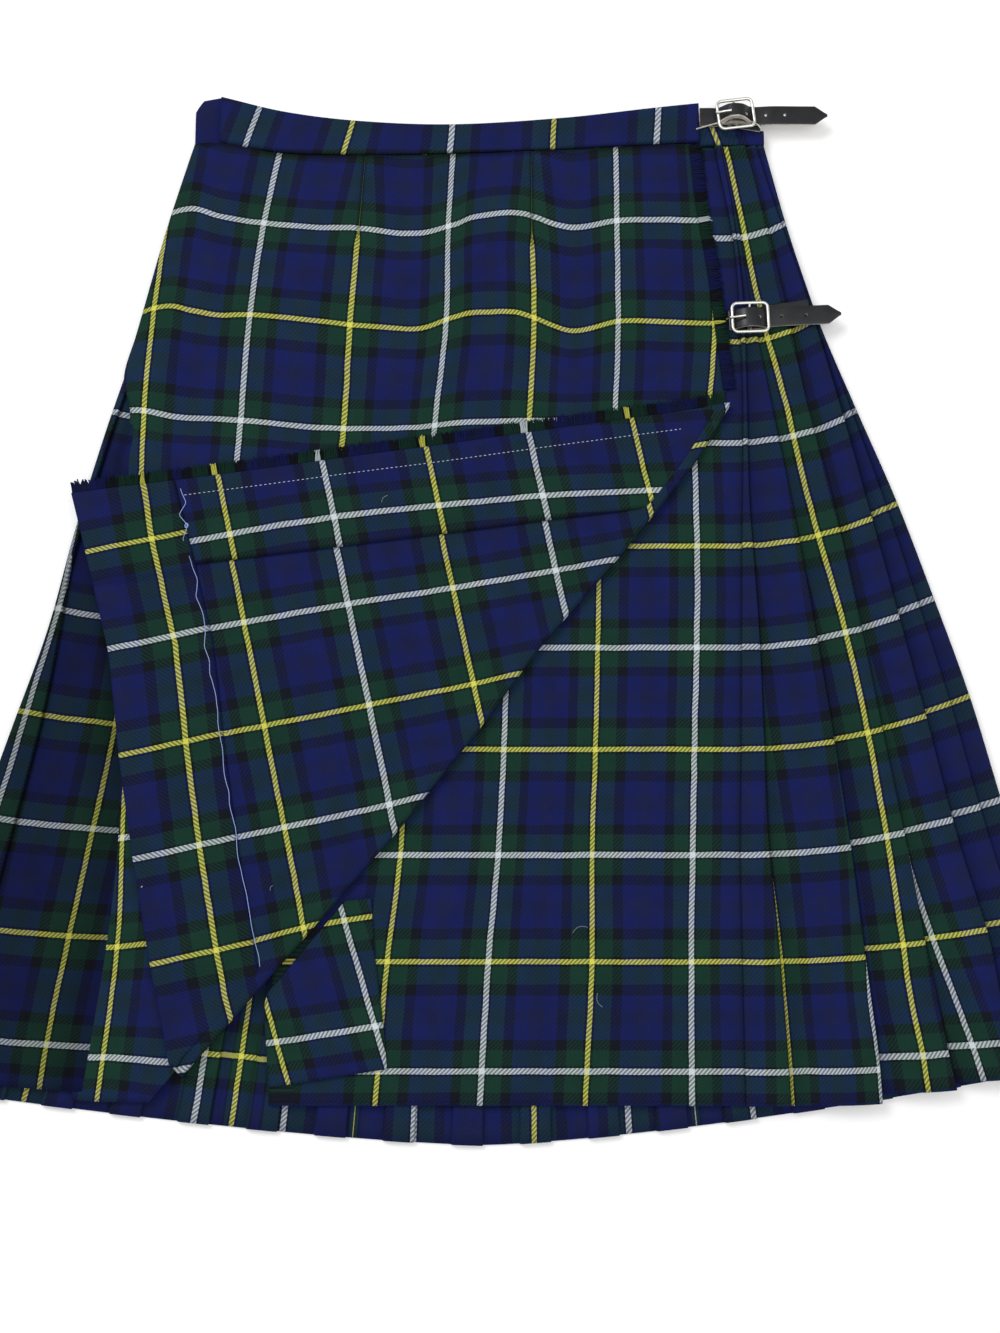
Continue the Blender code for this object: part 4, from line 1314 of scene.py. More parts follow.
def make_hem_thread(look):
    """The wavering hand stitches of the hem, which dip into the cloth at each stitch, and a knot."""
    points = []
    for index, (x, y) in enumerate(HEM_THREAD):
        for part in range(3):
            share = part / 3
            nearest = HEM_THREAD[min(index + 1, len(HEM_THREAD) - 1)]
            px = x + (nearest[0] - x) * share
            py = y + (nearest[1] - y) * share
            wander = 0.0007 * noise.noise(Vector((py * 130.0, 2.0, 1.0)))
            dip = 0.00012 * math.sin(len(points) * 1.25)
            points.append((px + wander, py, corner_height(px, py) + dip + 0.0003))
    made = thread_curve("hem_hand_thread", points, 0.00024, look)
    knot_x, knot_y = -0.2000, 0.0890
    level = corner_height(knot_x, knot_y)
    loop = []
    for i in range(22):
        angle = i * 0.95
        size = 0.0013 - 0.00003 * i
        loop.append((knot_x + size * math.cos(angle), knot_y + size * 1.4 * math.sin(angle),
                     level + 0.0004 + 0.0005 * math.sin(i * 1.7)))
    knot = thread_curve("hem_thread_knot", loop, 0.00022, look)
    return made, knot


# The first of these lie on the turned-up corner and the others on the under apron.
LINT_ON_CORNER = 3
LINT = (
    # x, y, length, turn in degrees of each speck and hair on the cloth
    (-0.2209, -0.1391, 0.0012, 40.0),
    (-0.1410, -0.1397, 0.0034, 65.0),
    (-0.0737, 0.1064, 0.0060, 50.0),
    (0.0495, -0.1655, 0.0100, 20.0),
    (0.0615, -0.2079, 0.0090, 110.0),
)


def make_lint(look):
    """A few pale specks and hairs that cling to the wool."""
    made = []
    for index, (x, y, length, turn) in enumerate(LINT):
        if index < LINT_ON_CORNER:
            level = corner_height(x, y) + 0.0003
        else:
            level = UNDER_Z + CLOTH / 2 + ridge_lift(UNDER_RIDGES, x, y)
            level += 0.0003 + laid_lift(x, y)
        angle = math.radians(turn)
        points = []
        for i in range(5):
            along = length * (i / 4 - 0.5)
            bow = 0.22 * length * (1 - (i / 2 - 1) ** 2)
            points.append((x + along * math.cos(angle) - bow * math.sin(angle),
                           y + along * math.sin(angle) + bow * math.cos(angle), level))
        radius = 0.00013 if length > 0.002 else 0.0004
        made.append(thread_curve("lint_" + str(index + 1), points, radius, look))
    return made


# Straps and buckles


def strap_frame(x, y, turn):
    way = Vector((math.cos(math.radians(turn)), math.sin(math.radians(turn)), 0.0))
    side = Vector((-way.y, way.x, 0.0))
    return Vector((x, y, 0.0)), way, side


def make_leather_strip(name, origin, way, side, path, width_at, thickness, crown, looks, holes):
    """A strap cut from leather along a path of (distance, height), with punched holes."""
    length = path[-1][0] - path[0][0]
    rows = int(length / 0.0009)
    columns = 12
    shape = bmesh.new()
    bmesh.ops.create_grid(shape, x_segments=columns, y_segments=rows, size=0.5)
    flat = {}
    for vert in shape.verts:
        across = vert.co.x * 2.0
        distance = path[0][0] + length * (vert.co.y + 0.5)
        flat[vert] = Vector((distance, across * width_at(distance)))
    for hole in holes:
        centre = min(shape.verts, key=lambda vert: (flat[vert] - Vector((hole, 0.0))).length)
        ring = {v for face in centre.link_faces for v in face.verts} - {centre}
        for vert in ring:
            reach = flat[vert] - Vector((hole, 0.0))
            flat[vert] = Vector((hole, 0.0)) + reach.normalized() * HOLE_RADIUS
        bmesh.ops.delete(shape, geom=[centre], context="VERTS")
    for vert in shape.verts:
        distance, across = flat[vert]
        half = max(width_at(distance), 1e-4)
        height = curve(path, 1, distance) + crown * (1 - (across / half) ** 2)
        vert.co = origin + way * distance + side * across + Vector((0, 0, height))
    shape.normal_update()
    if sum(face.normal.z for face in shape.faces) < 0:
        bmesh.ops.reverse_faces(shape, faces=shape.faces)
    made = keep(name, shape, looks)
    wall = made.modifiers.new("leather_thickness", "SOLIDIFY")
    wall.thickness = thickness
    wall.offset = 0.0
    wall.material_offset = 1
    wall.material_offset_rim = 2
    edge = made.modifiers.new("skived_edge", "BEVEL")
    edge.width = 0.00018
    edge.segments = 2
    edge.limit_method = "ANGLE"
    edge.angle_limit = math.radians(50)
    return made


def strap_path(start, base, bar_at, rise, end):
    bar_z = base + BAR_RISE
    low = base + CLEAR + STRAP / 2
    over_bar = bar_z + CENTRE_BAR + CLEAR + STRAP / 2 + rise
    under = base + CHAPE + 2 * CLEAR + STRAP / 2
    spread = BUCKLE_WIDTH / 2
    return (
        (start, low),
        (max(bar_at - spread - 0.002, start + 0.0003), low),
        (bar_at - spread + 0.002, low + 0.0002),
        (bar_at - 0.0045, over_bar - 0.0009),
        (bar_at, over_bar),
        (bar_at + 0.0045, over_bar - 0.0009),
        (bar_at + spread - 0.0022, under),
        (bar_at + spread + 0.012, under + 0.0008),
        (end - TIP - 0.010, under + 0.0006),
        (end, under + 0.0004),
    )


def make_strap(name, x, y, turn, start, base, bar_at, rise, end, looks):
    """A pointed strap, threaded through its buckle."""
    origin, way, side = strap_frame(x, y, turn)
    half = STRAP_WIDTH / 2
    def width_at(distance):
        left = end - distance
        return half * min(1.0, max(left, 0.0) / TIP * 0.94 + 0.06)
    holes = [row[1:] for row in STRAP_HOLES if row[0] == name][0]
    path = strap_path(start, base, bar_at, rise, end)
    made = make_leather_strip(name + "_strap_leather", origin, way, side, path, width_at,
                              STRAP - 0.0002, 0.0003, looks, holes)
    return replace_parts(made, name + "_strap")


def make_chape(name, x, y, turn, base, bar_at, chape_turn, looks):
    """The short leather that holds the buckle by its middle bar, with a pale raw edge."""
    start, strap_way, strap_side = strap_frame(x, y, turn)
    bar = start + strap_way * bar_at
    origin, way, side = strap_frame(bar.x, bar.y, chape_turn)
    bar_z = base + BAR_RISE
    low = base + CLEAR + CHAPE / 2
    # The upper chape's far end is made by make_chape_edge, so this piece ends sooner.
    end = CHAPE_LENGTH if chape_turn > 0 else UPPER_CHAPE_SHARE * CHAPE_LENGTH
    path = ((-0.0022, bar_z - 0.0014), (0.0, bar_z - 0.0019), (0.006, low), (0.6 * end, low),
            (end, low))
    made = make_leather_strip(name + "_chape_leather", origin, way, side, path,
                              lambda distance: STRAP_WIDTH / 2 + 0.0009, CHAPE - 0.0002, 0.0, looks, ())
    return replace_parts(made, name + "_chape")


def round_bar(name, points, radius, closed, look):
    """A round wire through points, closed into a ring or with round ends."""
    line, run = wire(name, "POLY", points, radius, 5)
    line.use_fill_caps = not closed
    run.use_cyclic_u = closed
    run.use_smooth = True
    return keep_wire(name, line, look)


def make_chape_edge(looks):
    """The pale raw edge of the upper chape below the strap, and where it bulges up beside it."""
    lower = [(x, y, CHAPE_EDGE_Z) for x, y in CHAPE_EDGE]
    edge = round_bar("upper_chape_lower_edge", lower, 0.00045, False, looks[2])
    arch = round_bar("upper_chape_raised_edge", CHAPE_ARCH, 0.0005, False, looks[2])
    shape = bmesh.new()
    bmesh.ops.create_grid(shape, x_segments=14, y_segments=4, size=0.5)
    for vert in shape.verts:
        share = vert.co.x + 0.5
        part = vert.co.y + 0.5
        x = CHAPE_ARCH[0][0] + (CHAPE_ARCH[-1][0] - CHAPE_ARCH[0][0]) * share
        top = Vector((x, curve(CHAPE_ARCH, 1, x), curve(CHAPE_ARCH, 2, x) - 0.0002))
        foot = Vector((x, 0.3606, CHAPE_EDGE_Z - 0.0002))
        vert.co = foot + (top - foot) * part
    shape.normal_update()
    if sum(face.normal.z for face in shape.faces) < 0:
        bmesh.ops.reverse_faces(shape, faces=shape.faces)
    inside = keep("upper_chape_inside", shape, looks[1])
    wall = inside.modifiers.new("leather_thickness", "SOLIDIFY")
    wall.thickness = 0.0005
    wall.offset = 0.0
    return [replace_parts(piece, "upper_chape") for piece in (edge, arch, inside)]


def buckle_outline(width, height, corner, per_corner):
    points = []
    for index, (sx, sy) in enumerate(((1, 1), (-1, 1), (-1, -1), (1, -1))):
        centre = (sx * (width / 2 - corner), sy * (height / 2 - corner))
        for step in range(per_corner):
            angle = math.radians(90 * index + 90 * step / (per_corner - 1))
            points.append((centre[0] + corner * math.cos(angle), centre[1] + corner * math.sin(angle)))
    return points


def make_buckle(name, x, y, turn, base, bar_at, rise, buckle_turn, look):
    """The buckle's rounded frame and bent middle bar, and its prong."""
    origin, way, strap_side = strap_frame(x, y, turn)
    bar_spot = origin + way * bar_at
    middle, frame_way, frame_side = strap_frame(bar_spot.x, bar_spot.y, buckle_turn)
    bar_z = base + BAR_RISE
    frame_z = base + CHAPE + 3 * CLEAR + STRAP + BAR + 0.0002 + rise * 0.5
    flat = buckle_outline(BUCKLE_WIDTH - 2 * BAR, BUCKLE_HEIGHT - 2 * BAR, BUCKLE_CORNER, 8)
    points = [middle + frame_way * a + frame_side * b + Vector((0, 0, frame_z)) for a, b in flat]
    ring = round_bar(name + "_buckle_frame", points, BAR, True, look)
    reach = BUCKLE_HEIGHT / 2 - BAR
    ends = []
    for i in range(17):
        share = -1.0 + i / 8
        dip = bar_z + (frame_z - bar_z) * smooth((abs(share) - 0.66) / 0.34)
        ends.append(middle + frame_side * (reach * share) + Vector((0, 0, dip)))
    bar = round_bar(name + "_buckle_bar", ends, CENTRE_BAR, False, look)
    near = bar_at - BUCKLE_WIDTH / 2 + BAR
    top = frame_z + BAR + CLEAR + 0.0006
    pin_path = ((near - 0.0018, top), (near, top + 0.0001), (near + 0.0012, top),
                (near + 0.0042, top + 0.0004 + rise * 0.4),
                (bar_at - 0.0034, bar_z + CENTRE_BAR + 2 * CLEAR + STRAP + 0.0016 + rise))
    pin = [origin + way * a + Vector((0, 0, z)) for a, z in pin_path]
    prong = round_bar(name + "_buckle_prong", pin, 0.0007, False, look)
    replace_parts(ring, name + "_buckle")
    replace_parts(bar, name + "_buckle")
    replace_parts(prong, name + "_prong")
    return ring, bar, prong


# Materials


RIB_SPACING = 0.0028


def linear(hex_colour):
    """An sRGB hex colour as linear red, green, blue and alpha."""
    values = []
    for start in (1, 3, 5):
        value = int(hex_colour[start:start + 2], 16) / 255
        values.append(value / 12.92 if value <= 0.04045 else ((value + 0.055) / 1.055) ** 2.4)
    return values + [1.0]


def add(tree, kind, values=(), links=(), **settings):
    """Adds a node, sets its settings and input values, and links sockets into it."""
    made = tree.nodes.new(kind)
    for key, value in settings.items():
        setattr(made, key, value)
    for key, value in values:
        made.inputs[key].default_value = value
    for key, socket in links:
        tree.links.new(socket, made.inputs[key])
    return made


def set_stops(ramp, stops, interpolation):
    ramp.color_ramp.interpolation = interpolation
    elements = ramp.color_ramp.elements
    while len(elements) < len(stops):
        elements.new(0.5)
    for element, (place, colour) in zip(elements, stops):
        element.position = place
        element.color = colour


def new_material(name):
    made = bpy.data.materials.new(name)
    made.use_nodes = True
    return made, made.node_tree, made.node_tree.nodes["Principled BSDF"]


def check_stops(colours):
    """The half repeat of the check, from the middle of a white line to that of a yellow one."""
    blue, deep, black, green, guard, white, yellow = colours
    return (
        (0.000, white), (0.024, guard), (0.046, green), (0.190, black), (0.282, blue), (0.420, deep),
        (0.560, blue), (0.690, black), (0.790, green), (0.950, guard), (0.974, yellow),
    )


def tartan(name, weft_only, brightness):
    """Worsted wool twill: matt, with fine diagonal ribs that show best where a pale line crosses."""
    colours = bpy.context.scene.kilt_colours
    made, tree, shader = new_material(name)
    threads = [list(c) + [1.0] for c in (colours.blue, colours.deep_blue, colours.black, colours.green,
                                         colours.guard, colours.white, colours.yellow)]
    uv = add(tree, "ShaderNodeUVMap", uv_map="weave")
    wander = add(tree, "ShaderNodeTexNoise", values=(("Scale", 55.0), ("Detail", 2.0)),
                 links=(("Vector", uv.outputs["UV"]),))
    centred = add(tree, "ShaderNodeVectorMath", values=((1, (0.5, 0.5, 0.5)),),
                  links=((0, wander.outputs["Color"]),), operation="SUBTRACT")
    small = add(tree, "ShaderNodeVectorMath", links=((0, centred.outputs[0]),), operation="SCALE")
    small.inputs["Scale"].default_value = 0.0011
    moved = add(tree, "ShaderNodeVectorMath", links=((0, uv.outputs["UV"]), (1, small.outputs[0])),
                operation="ADD")
    parts = add(tree, "ShaderNodeSeparateXYZ", links=((0, moved.outputs[0]),))
    looks = []
    for axis in ("X", "Y"):
        there = add(tree, "ShaderNodeMath", values=((1, HALF_SETT),), links=((0, parts.outputs[axis]),),
                    operation="PINGPONG")
        share = add(tree, "ShaderNodeMath", values=((1, HALF_SETT),), links=((0, there.outputs[0]),),
                    operation="DIVIDE")
        ramp = add(tree, "ShaderNodeValToRGB", links=(("Fac", share.outputs[0]),))
        set_stops(ramp, check_stops(threads), "CONSTANT")
        looks.append(ramp.outputs["Color"])
    # The real twill ribs are about 0.9 mm apart. They are drawn 2.8 mm apart, as coarse as they show.
    diagonal = add(tree, "ShaderNodeMath", links=((0, parts.outputs["X"]), (1, parts.outputs["Y"])),
                   operation="ADD")
    ribs = add(tree, "ShaderNodeMath", values=((1, 2 * math.pi / RIB_SPACING),),
               links=((0, diagonal.outputs[0]),), operation="MULTIPLY")
    wave = add(tree, "ShaderNodeMath", links=((0, ribs.outputs[0]),), operation="SINE")
    mask = add(tree, "ShaderNodeMapRange", values=(("From Min", -1.5), ("From Max", 1.5)),
               links=(("Value", wave.outputs[0]),))
    both = add(tree, "ShaderNodeMix", links=(("Factor", mask.outputs[0]), (6, looks[0]), (7, looks[1])),
               data_type="RGBA")
    if weft_only:
        both.inputs["Factor"].default_value = 1.0
        tree.links.remove(both.inputs["Factor"].links[0])
    felt = add(tree, "ShaderNodeTexNoise", values=(("Scale", 2600.0), ("Detail", 3.0), ("Roughness", 0.7)),
               links=(("Vector", uv.outputs["UV"]),))
    patches = add(tree, "ShaderNodeTexNoise", values=(("Scale", 42.0), ("Detail", 4.0), ("Roughness", 0.6)),
                  links=(("Vector", uv.outputs["UV"]),))
    felt_value = add(tree, "ShaderNodeMapRange", values=(("From Min", 0.25), ("From Max", 0.75),
                                                         ("To Min", 0.72), ("To Max", 1.30)),
                     links=(("Value", felt.outputs["Fac"]),))
    patch_value = add(tree, "ShaderNodeMapRange", values=(("From Min", 0.3), ("From Max", 0.7),
                                                          ("To Min", 0.90), ("To Max", 1.10)),
                      links=(("Value", patches.outputs["Fac"]),))
    # Painted shade: where a piece sets its shade attribute, the cloth's colour darkens to as little as 0.38
    # of its brightness.
    painted_shade = add(tree, "ShaderNodeAttribute", attribute_name="painted_shade")
    deep = add(tree, "ShaderNodeMapRange", values=(("To Min", brightness), ("To Max", brightness * 0.38)),
               links=(("Value", painted_shade.outputs["Fac"]),))
    first = add(tree, "ShaderNodeMath", links=((0, felt_value.outputs[0]), (1, patch_value.outputs[0])),
                operation="MULTIPLY")
    total = add(tree, "ShaderNodeMath", links=((0, first.outputs[0]), (1, deep.outputs[0])),
                operation="MULTIPLY")
    tinted = add(tree, "ShaderNodeVectorMath", links=((0, both.outputs[2]), ("Scale", total.outputs[0])),
                 operation="SCALE")
    tree.links.new(tinted.outputs[0], shader.inputs["Base Color"])
    relief = add(tree, "ShaderNodeMath", values=((1, 0.35),), links=((0, wave.outputs[0]),),
                 operation="MULTIPLY")
    surface = add(tree, "ShaderNodeMath", links=((0, relief.outputs[0]), (1, felt.outputs["Fac"])),
                  operation="ADD")
    bump = add(tree, "ShaderNodeBump", values=(("Strength", 0.45), ("Distance", 0.0003)),
               links=(("Height", surface.outputs[0]),))
    tree.links.new(bump.outputs[0], shader.inputs["Normal"])
    shader.inputs["Roughness"].default_value = 0.88
    shader.inputs["Specular IOR Level"].default_value = 0.05
    shader.inputs["Sheen Weight"].default_value = 0.01
    shader.inputs["Sheen Roughness"].default_value = 0.5
    shader.inputs["Sheen Tint"].default_value = (0.75, 0.80, 1.0, 1.0)
    return made


def grained_leather(name, colour, worn, roughness, grain, coat):
    """Dressed strap leather: a fine pebbled grain of about 0.6 mm that breaks up its gloss."""
    made, tree, shader = new_material(name)
    there = add(tree, "ShaderNodeTexCoord")
    pebbles = add(tree, "ShaderNodeTexVoronoi", values=(("Scale", 1600.0),),
                  links=(("Vector", there.outputs["Object"]),), feature="F1")
    clouds = add(tree, "ShaderNodeTexNoise",
                 values=(("Scale", 180.0), ("Detail", 5.0), ("Roughness", 0.65)),
                 links=(("Vector", there.outputs["Object"]),))
    tone = add(tree, "ShaderNodeValToRGB", links=(("Fac", clouds.outputs["Fac"]),))
    set_stops(tone, ((0.38, linear(colour)), (0.72, linear(worn))), "LINEAR")
    tree.links.new(tone.outputs["Color"], shader.inputs["Base Color"])
    rough = add(tree, "ShaderNodeMapRange",
                values=(("To Min", roughness - 0.08), ("To Max", roughness + 0.10)),
                links=(("Value", clouds.outputs["Fac"]),))
    tree.links.new(rough.outputs[0], shader.inputs["Roughness"])
    bump = add(tree, "ShaderNodeBump", values=(("Strength", grain), ("Distance", 0.00012)),
               links=(("Height", pebbles.outputs["Distance"]),))
    tree.links.new(bump.outputs[0], shader.inputs["Normal"])
    shader.inputs["Specular IOR Level"].default_value = 0.35
    shader.inputs["Coat Weight"].default_value = coat
    shader.inputs["Coat Roughness"].default_value = 0.25
    return made


def nickel_plate(name):
    """Nickel plate on cast brass: bright, a little warm, with fine rubbing marks in its gloss."""
    made, tree, shader = new_material(name)
    there = add(tree, "ShaderNodeTexCoord")
    rubs = add(tree, "ShaderNodeTexNoise", values=(("Scale", 900.0), ("Detail", 6.0), ("Roughness", 0.7)),
               links=(("Vector", there.outputs["Object"]),))
    rough = add(tree, "ShaderNodeMapRange", values=(("To Min", 0.22), ("To Max", 0.42)),
                links=(("Value", rubs.outputs["Fac"]),))
    tone = add(tree, "ShaderNodeValToRGB", links=(("Fac", rubs.outputs["Fac"]),))
    set_stops(tone, ((0.3, linear("#CFCDC6")), (0.7, linear("#EAE9E4"))), "LINEAR")
    tree.links.new(tone.outputs["Color"], shader.inputs["Base Color"])
    tree.links.new(rough.outputs[0], shader.inputs["Roughness"])
    bump = add(tree, "ShaderNodeBump", values=(("Strength", 0.12), ("Distance", 0.0001)),
               links=(("Height", rubs.outputs["Fac"]),))
    tree.links.new(bump.outputs[0], shader.inputs["Normal"])
    shader.inputs["Metallic"].default_value = 1.0
    return made


def sewing_thread(name, colour):
    """Spun polyester sewing thread: pale, with a soft gloss and the light and dark of its twist."""
    made, tree, shader = new_material(name)
    there = add(tree, "ShaderNodeTexCoord")
    twist = add(tree, "ShaderNodeTexNoise", values=(("Scale", 2400.0), ("Detail", 2.0)),
                links=(("Vector", there.outputs["Object"]),))
    tone = add(tree, "ShaderNodeMapRange", values=(("From Min", 0.3), ("From Max", 0.7), ("To Min", 0.7),
                                                   ("To Max", 1.1)),
               links=(("Value", twist.outputs["Fac"]),))
    tint = add(tree, "ShaderNodeVectorMath", values=((0, linear(colour)[:3]),),
               links=(("Scale", tone.outputs[0]),), operation="SCALE")
    tree.links.new(tint.outputs[0], shader.inputs["Base Color"])
    bump = add(tree, "ShaderNodeBump", values=(("Strength", 0.4), ("Distance", 0.0001)),
               links=(("Height", twist.outputs["Fac"]),))
    tree.links.new(bump.outputs[0], shader.inputs["Normal"])
    shader.inputs["Roughness"].default_value = 0.6
    return made


def floor_paper(name):
    """Matt white studio paper, with a tone so slight that it only keeps the floor from looking flat."""
    made, tree, shader = new_material(name)
    there = add(tree, "ShaderNodeTexCoord")
    fibres = add(tree, "ShaderNodeTexNoise", values=(("Scale", 12.0), ("Detail", 3.0)),
                 links=(("Vector", there.outputs["Object"]),))
    tone = add(tree, "ShaderNodeValToRGB", links=(("Fac", fibres.outputs["Fac"]),))
    set_stops(tone, ((0.2, linear("#F4F4F4")), (0.8, linear("#F8F8F8"))), "LINEAR")
    tree.links.new(tone.outputs["Color"], shader.inputs["Base Color"])
    shader.inputs["Roughness"].default_value = 0.95
    shader.inputs["Specular IOR Level"].default_value = 0.0
    return made


FINISHES = {
    "worsted tartan twill": (tartan, False, 1.0),
    "worsted tartan twill, wrong side": (tartan, False, 0.96),
    "loose worsted weft": (tartan, True, 0.62),
    "black bridle leather": (grained_leather, "#0C0D11", "#15171D", 0.40, 0.25, 0.12),
    "raw leather edge": (grained_leather, "#9C978D", "#CFCBC2", 0.80, 0.5, 0.0),
    "suede side of the leather": (grained_leather, "#8F897E", "#BBB5A9", 0.90, 0.6, 0.0),
    "nickel plated brass": (nickel_plate,),
    "white machine thread": (sewing_thread, "#B9C0DA"),
    "pale blue tacking thread": (sewing_thread, "#8FA3D8"),
    "grey lint": (sewing_thread, "#8C939C"),
}


def finish(name):
    """The finish of that name, made the first time it is asked for."""
    found = bpy.data.materials.get(name)
    if found:
        return found
    maker, *settings = FINISHES[name]
    return maker(name, *settings)


# The add-on's settings and operators


class KiltSizes(bpy.types.PropertyGroup):
    cloth_thickness: FloatProperty(name="Cloth", description="Thickness of the tartan cloth",
                                   default=0.0010, min=0.0004, max=0.002, unit="LENGTH")
    fringe_length: FloatProperty(name="Fringe", description="Length of the loose threads at the edge",
                                 default=0.0095, min=0.003, max=0.02, unit="LENGTH")
    fringe_pitch: FloatProperty(name="Fringe spacing", description="Distance from thread to thread",
                                default=0.00115, min=0.0008, max=0.005, unit="LENGTH")
    stitch_pitch: FloatProperty(name="Stitch", description="Distance from one machine stitch to the next",
                                default=0.0031, min=0.0015, max=0.006, unit="LENGTH")


def thread_colour(name, hex_colour, description):
    return FloatVectorProperty(name=name, description=description, default=linear(hex_colour)[:3],
                               min=0.0, max=1.0, subtype="COLOR")


class KiltColours(bpy.types.PropertyGroup):
    blue: thread_colour("Blue", "#151B4B", "The wide blue ground of the check")
    deep_blue: thread_colour("Deep blue", "#171C3F", "The middle of each blue square")
    black: thread_colour("Black", "#12151D", "The black bars beside the blue")
    green: thread_colour("Green", "#153027", "The green bars beside each line")
    guard: thread_colour("Guard", "#0D1512", "The dark guard threads beside each line")
    white: thread_colour("White", "#BDC6C8", "The white line")
    yellow: thread_colour("Yellow", "#C2C256", "The yellow line")


class KILT_OT_aprons(bpy.types.Operator):
    """Lays the under apron and the over apron"""
    bl_idname = "kilt.aprons"
    bl_label = "Aprons"

    def execute(self, context):
        look = finish("worsted tartan twill")
        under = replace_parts(make_under_apron(look), "under_apron")
        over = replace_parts(make_over_apron(look), "over_apron")
        return {"FINISHED"}


class KILT_OT_corner(bpy.types.Operator):
    """Folds up the lower corner of the over apron, with its facing and hem"""
    bl_idname = "kilt.corner"
    bl_label = "Turned-up corner"

    def execute(self, context):
        look = finish("worsted tartan twill, wrong side")
        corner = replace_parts(make_corner(look), "turned_corner")
        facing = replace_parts(make_facing(look), "edge_facing")
        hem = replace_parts(make_hem_turnup(look), "hem_turnup")
        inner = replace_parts(make_inner_fold(finish("worsted tartan twill")), "inner_fold")
        return {"FINISHED"}


class KILT_OT_pleats(bpy.types.Operator):
    """Lays the pleated back and the pleats at both sides"""
    bl_idname = "kilt.pleats"
    bl_label = "Pleats"

    def execute(self, context):
        look = finish("worsted tartan twill")
        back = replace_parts(make_back(look), "pleated_back")
        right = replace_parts(make_right_side(look), "right_side_pleats")
        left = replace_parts(make_left_side(look), "left_side_pleats")
        return {"FINISHED"}


class KILT_OT_waistbands(bpy.types.Operator):
    """Sews the waistbands"""
    bl_idname = "kilt.waistbands"
    bl_label = "Waistbands"

    def execute(self, context):
        front, inner, back = make_bands(finish("worsted tartan twill"))
        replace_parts(front, "front_waistband")
        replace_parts(inner, "inner_waistband")
        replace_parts(back, "back_waistband")
        return {"FINISHED"}


class KILT_OT_fringes(bpy.types.Operator):
    """Frays the side edge of the over apron"""
    bl_idname = "kilt.fringes"
    bl_label = "Fringes"

    def execute(self, context):
        first, second = make_fringes(finish("loose worsted weft"))
        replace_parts(first, "apron_fringe")
        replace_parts(second, "corner_fringe")
        return {"FINISHED"}


class KILT_OT_sewing(bpy.types.Operator):
    """Sews the facing and the hem of the turned-up corner"""
    bl_idname = "kilt.sewing"
    bl_label = "Sewing"

    def execute(self, context):
        make_edge_stitches(finish("white machine thread"))
        make_hem_thread(finish("pale blue tacking thread"))
        make_lint(finish("grey lint"))
        return {"FINISHED"}


class KILT_OT_straps(bpy.types.Operator):
    """Cuts the leather straps and the chapes that hold the buckles"""
    bl_idname = "kilt.straps"
    bl_label = "Straps"

    def execute(self, context):
        looks = [finish("black bridle leather"), finish("suede side of the leather"),
                 finish("raw leather edge")]
        for name, x, y, turn, start, base, bar_at, rise, buckle_turn, chape_turn, length in STRAPS:
            make_strap(name, x, y, turn, start, base, bar_at, rise, length, looks)
            make_chape(name, x, y, turn, base, bar_at, chape_turn, looks)
        make_chape_edge(looks)
        return {"FINISHED"}


class KILT_OT_buckles(bpy.types.Operator):
    """Makes the buckles"""
    bl_idname = "kilt.buckles"
    bl_label = "Buckles"

    def execute(self, context):
        look = finish("nickel plated brass")
        for name, x, y, turn, start, base, bar_at, rise, buckle_turn, chape_turn, length in STRAPS:
            make_buckle(name, x, y, turn, base, bar_at, rise, buckle_turn, look)
        return {"FINISHED"}


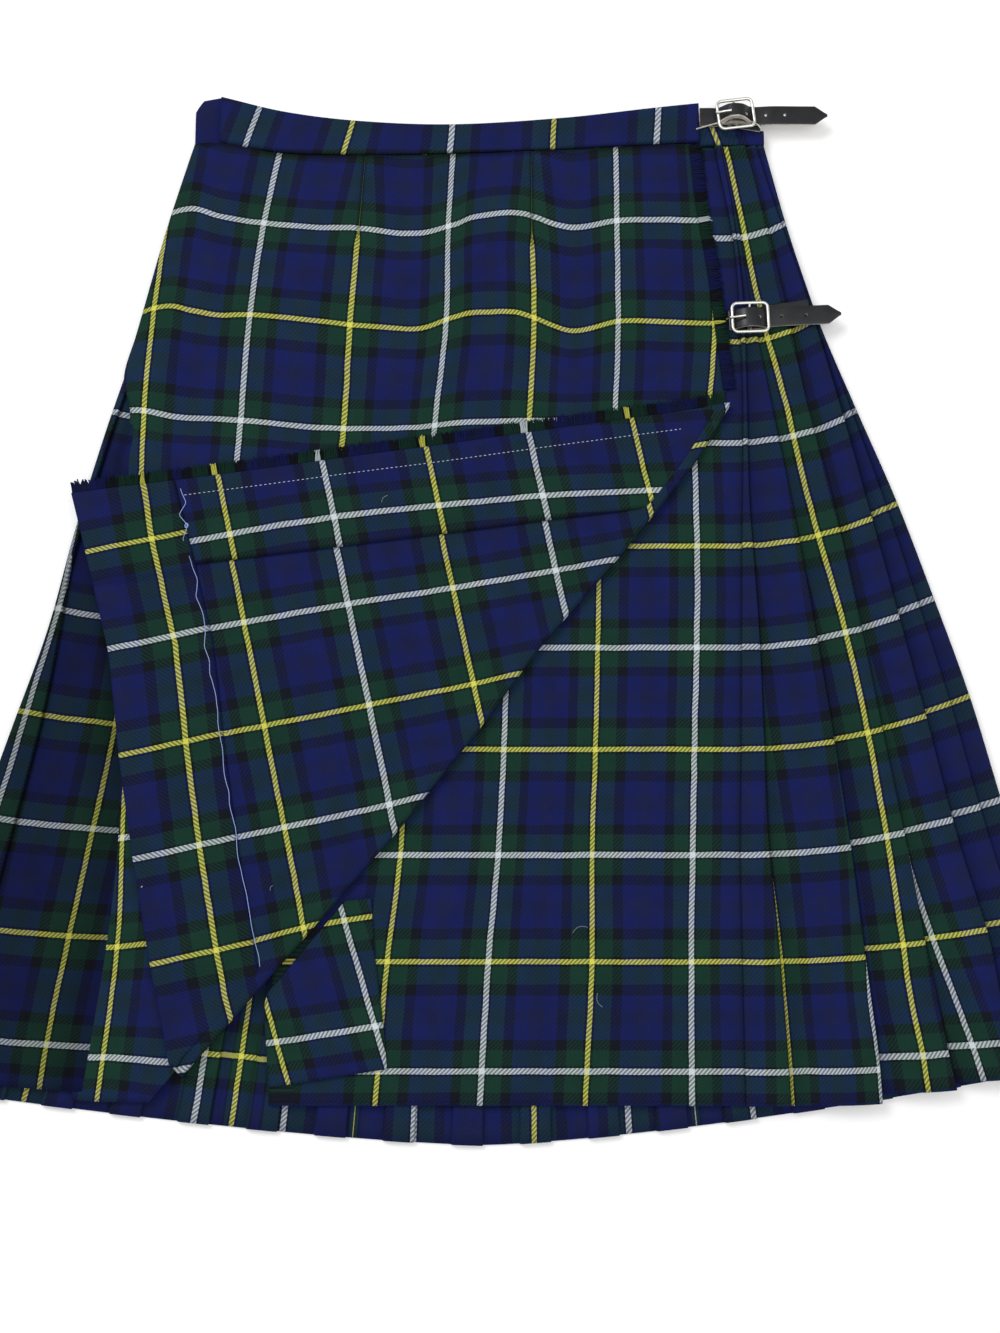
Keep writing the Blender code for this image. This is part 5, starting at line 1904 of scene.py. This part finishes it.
class KILT_OT_stage(bpy.types.Operator):
    """Sets the floor, the lights and the camera"""
    bl_idname = "kilt.stage"
    bl_label = "Floor, lights and camera"

    def execute(self, context):
        scene = context.scene
        sheet = bmesh.new()
        bmesh.ops.create_grid(sheet, x_segments=1, y_segments=1, size=2.5)
        mesh = bpy.data.meshes.new("studio_floor")
        sheet.to_mesh(mesh)
        sheet.free()
        mesh.transform(Matrix.Translation((0.0, 0.0, -0.0002)))
        mesh.materials.append(floor_paper("white studio paper"))
        floor = bpy.data.objects.new("studio_floor", mesh)
        scene.collection.objects.link(floor)
        lights = (
            # name, x, y, z, size, power in watts
            ("key_light", -0.9, 0.9, 1.7, 0.9, 21.0),
            ("fill_light", 1.0, -0.3, 1.6, 1.4, 7.0),
            ("top_light", 0.1, -0.2, 2.3, 1.6, 12.0),
        )
        for name, x, y, z, size, power in lights:
            data = bpy.data.lights.new(name, "AREA")
            data.size = size
            data.energy = power
            lamp = bpy.data.objects.new(name, data)
            lamp.location = (x, y, z)
            lamp.rotation_euler = Vector((-x, -y, -z)).to_track_quat("-Z", "Y").to_euler()
            scene.collection.objects.link(lamp)
        world = bpy.data.worlds.new("studio_light")
        world.use_nodes = True
        world.node_tree.nodes["Background"].inputs["Color"].default_value = (1.0, 1.0, 1.0, 1.0)
        world.node_tree.nodes["Background"].inputs["Strength"].default_value = 0.55
        scene.world = world
        scene.view_settings.view_transform = "Standard"
        lens = bpy.data.cameras.new("photo_camera")
        lens.sensor_width = 36.0
        lens.lens = 36.0 * 1500.0 / 1333.0
        camera = bpy.data.objects.new("photo_camera", lens)
        camera.location = (0.0, -0.13111, 0.94798)
        camera.rotation_euler = (math.radians(7.874), 0.0, 0.0)
        scene.collection.objects.link(camera)
        scene.camera = camera
        return {"FINISHED"}


class KILT_PT_panel(bpy.types.Panel):
    """Lists the kilt's sizes, colours and pieces"""
    bl_idname = "KILT_PT_panel"
    bl_label = "Laid Kilt"
    bl_space_type = "VIEW_3D"
    bl_region_type = "UI"
    bl_category = "Kilt"

    def draw(self, context):
        for name in ("cloth_thickness", "fringe_length", "fringe_pitch", "stitch_pitch"):
            self.layout.prop(context.scene.kilt_sizes, name)
        for name in ("blue", "deep_blue", "black", "green", "guard", "white", "yellow"):
            self.layout.prop(context.scene.kilt_colours, name)
        for operator in OPERATORS:
            self.layout.operator(operator.bl_idname)


OPERATORS = (KILT_OT_stage, KILT_OT_pleats, KILT_OT_aprons, KILT_OT_corner, KILT_OT_waistbands,
             KILT_OT_fringes, KILT_OT_sewing, KILT_OT_straps, KILT_OT_buckles)
CLASSES = (KiltSizes, KiltColours) + OPERATORS + (KILT_PT_panel,)


def register():
    for each in CLASSES:
        bpy.utils.register_class(each)
    bpy.types.Scene.kilt_sizes = PointerProperty(type=KiltSizes)
    bpy.types.Scene.kilt_colours = PointerProperty(type=KiltColours)


def unregister():
    del bpy.types.Scene.kilt_colours
    del bpy.types.Scene.kilt_sizes
    for each in reversed(CLASSES):
        bpy.utils.unregister_class(each)


def main():
    register()
    bpy.ops.kilt.stage()
    bpy.ops.kilt.pleats()
    bpy.ops.kilt.aprons()
    bpy.ops.kilt.corner()
    bpy.ops.kilt.waistbands()
    bpy.ops.kilt.fringes()
    bpy.ops.kilt.sewing()
    bpy.ops.kilt.straps()
    bpy.ops.kilt.buckles()
    bpy.context.view_layer.update()


if __name__ == "__main__":
    main()
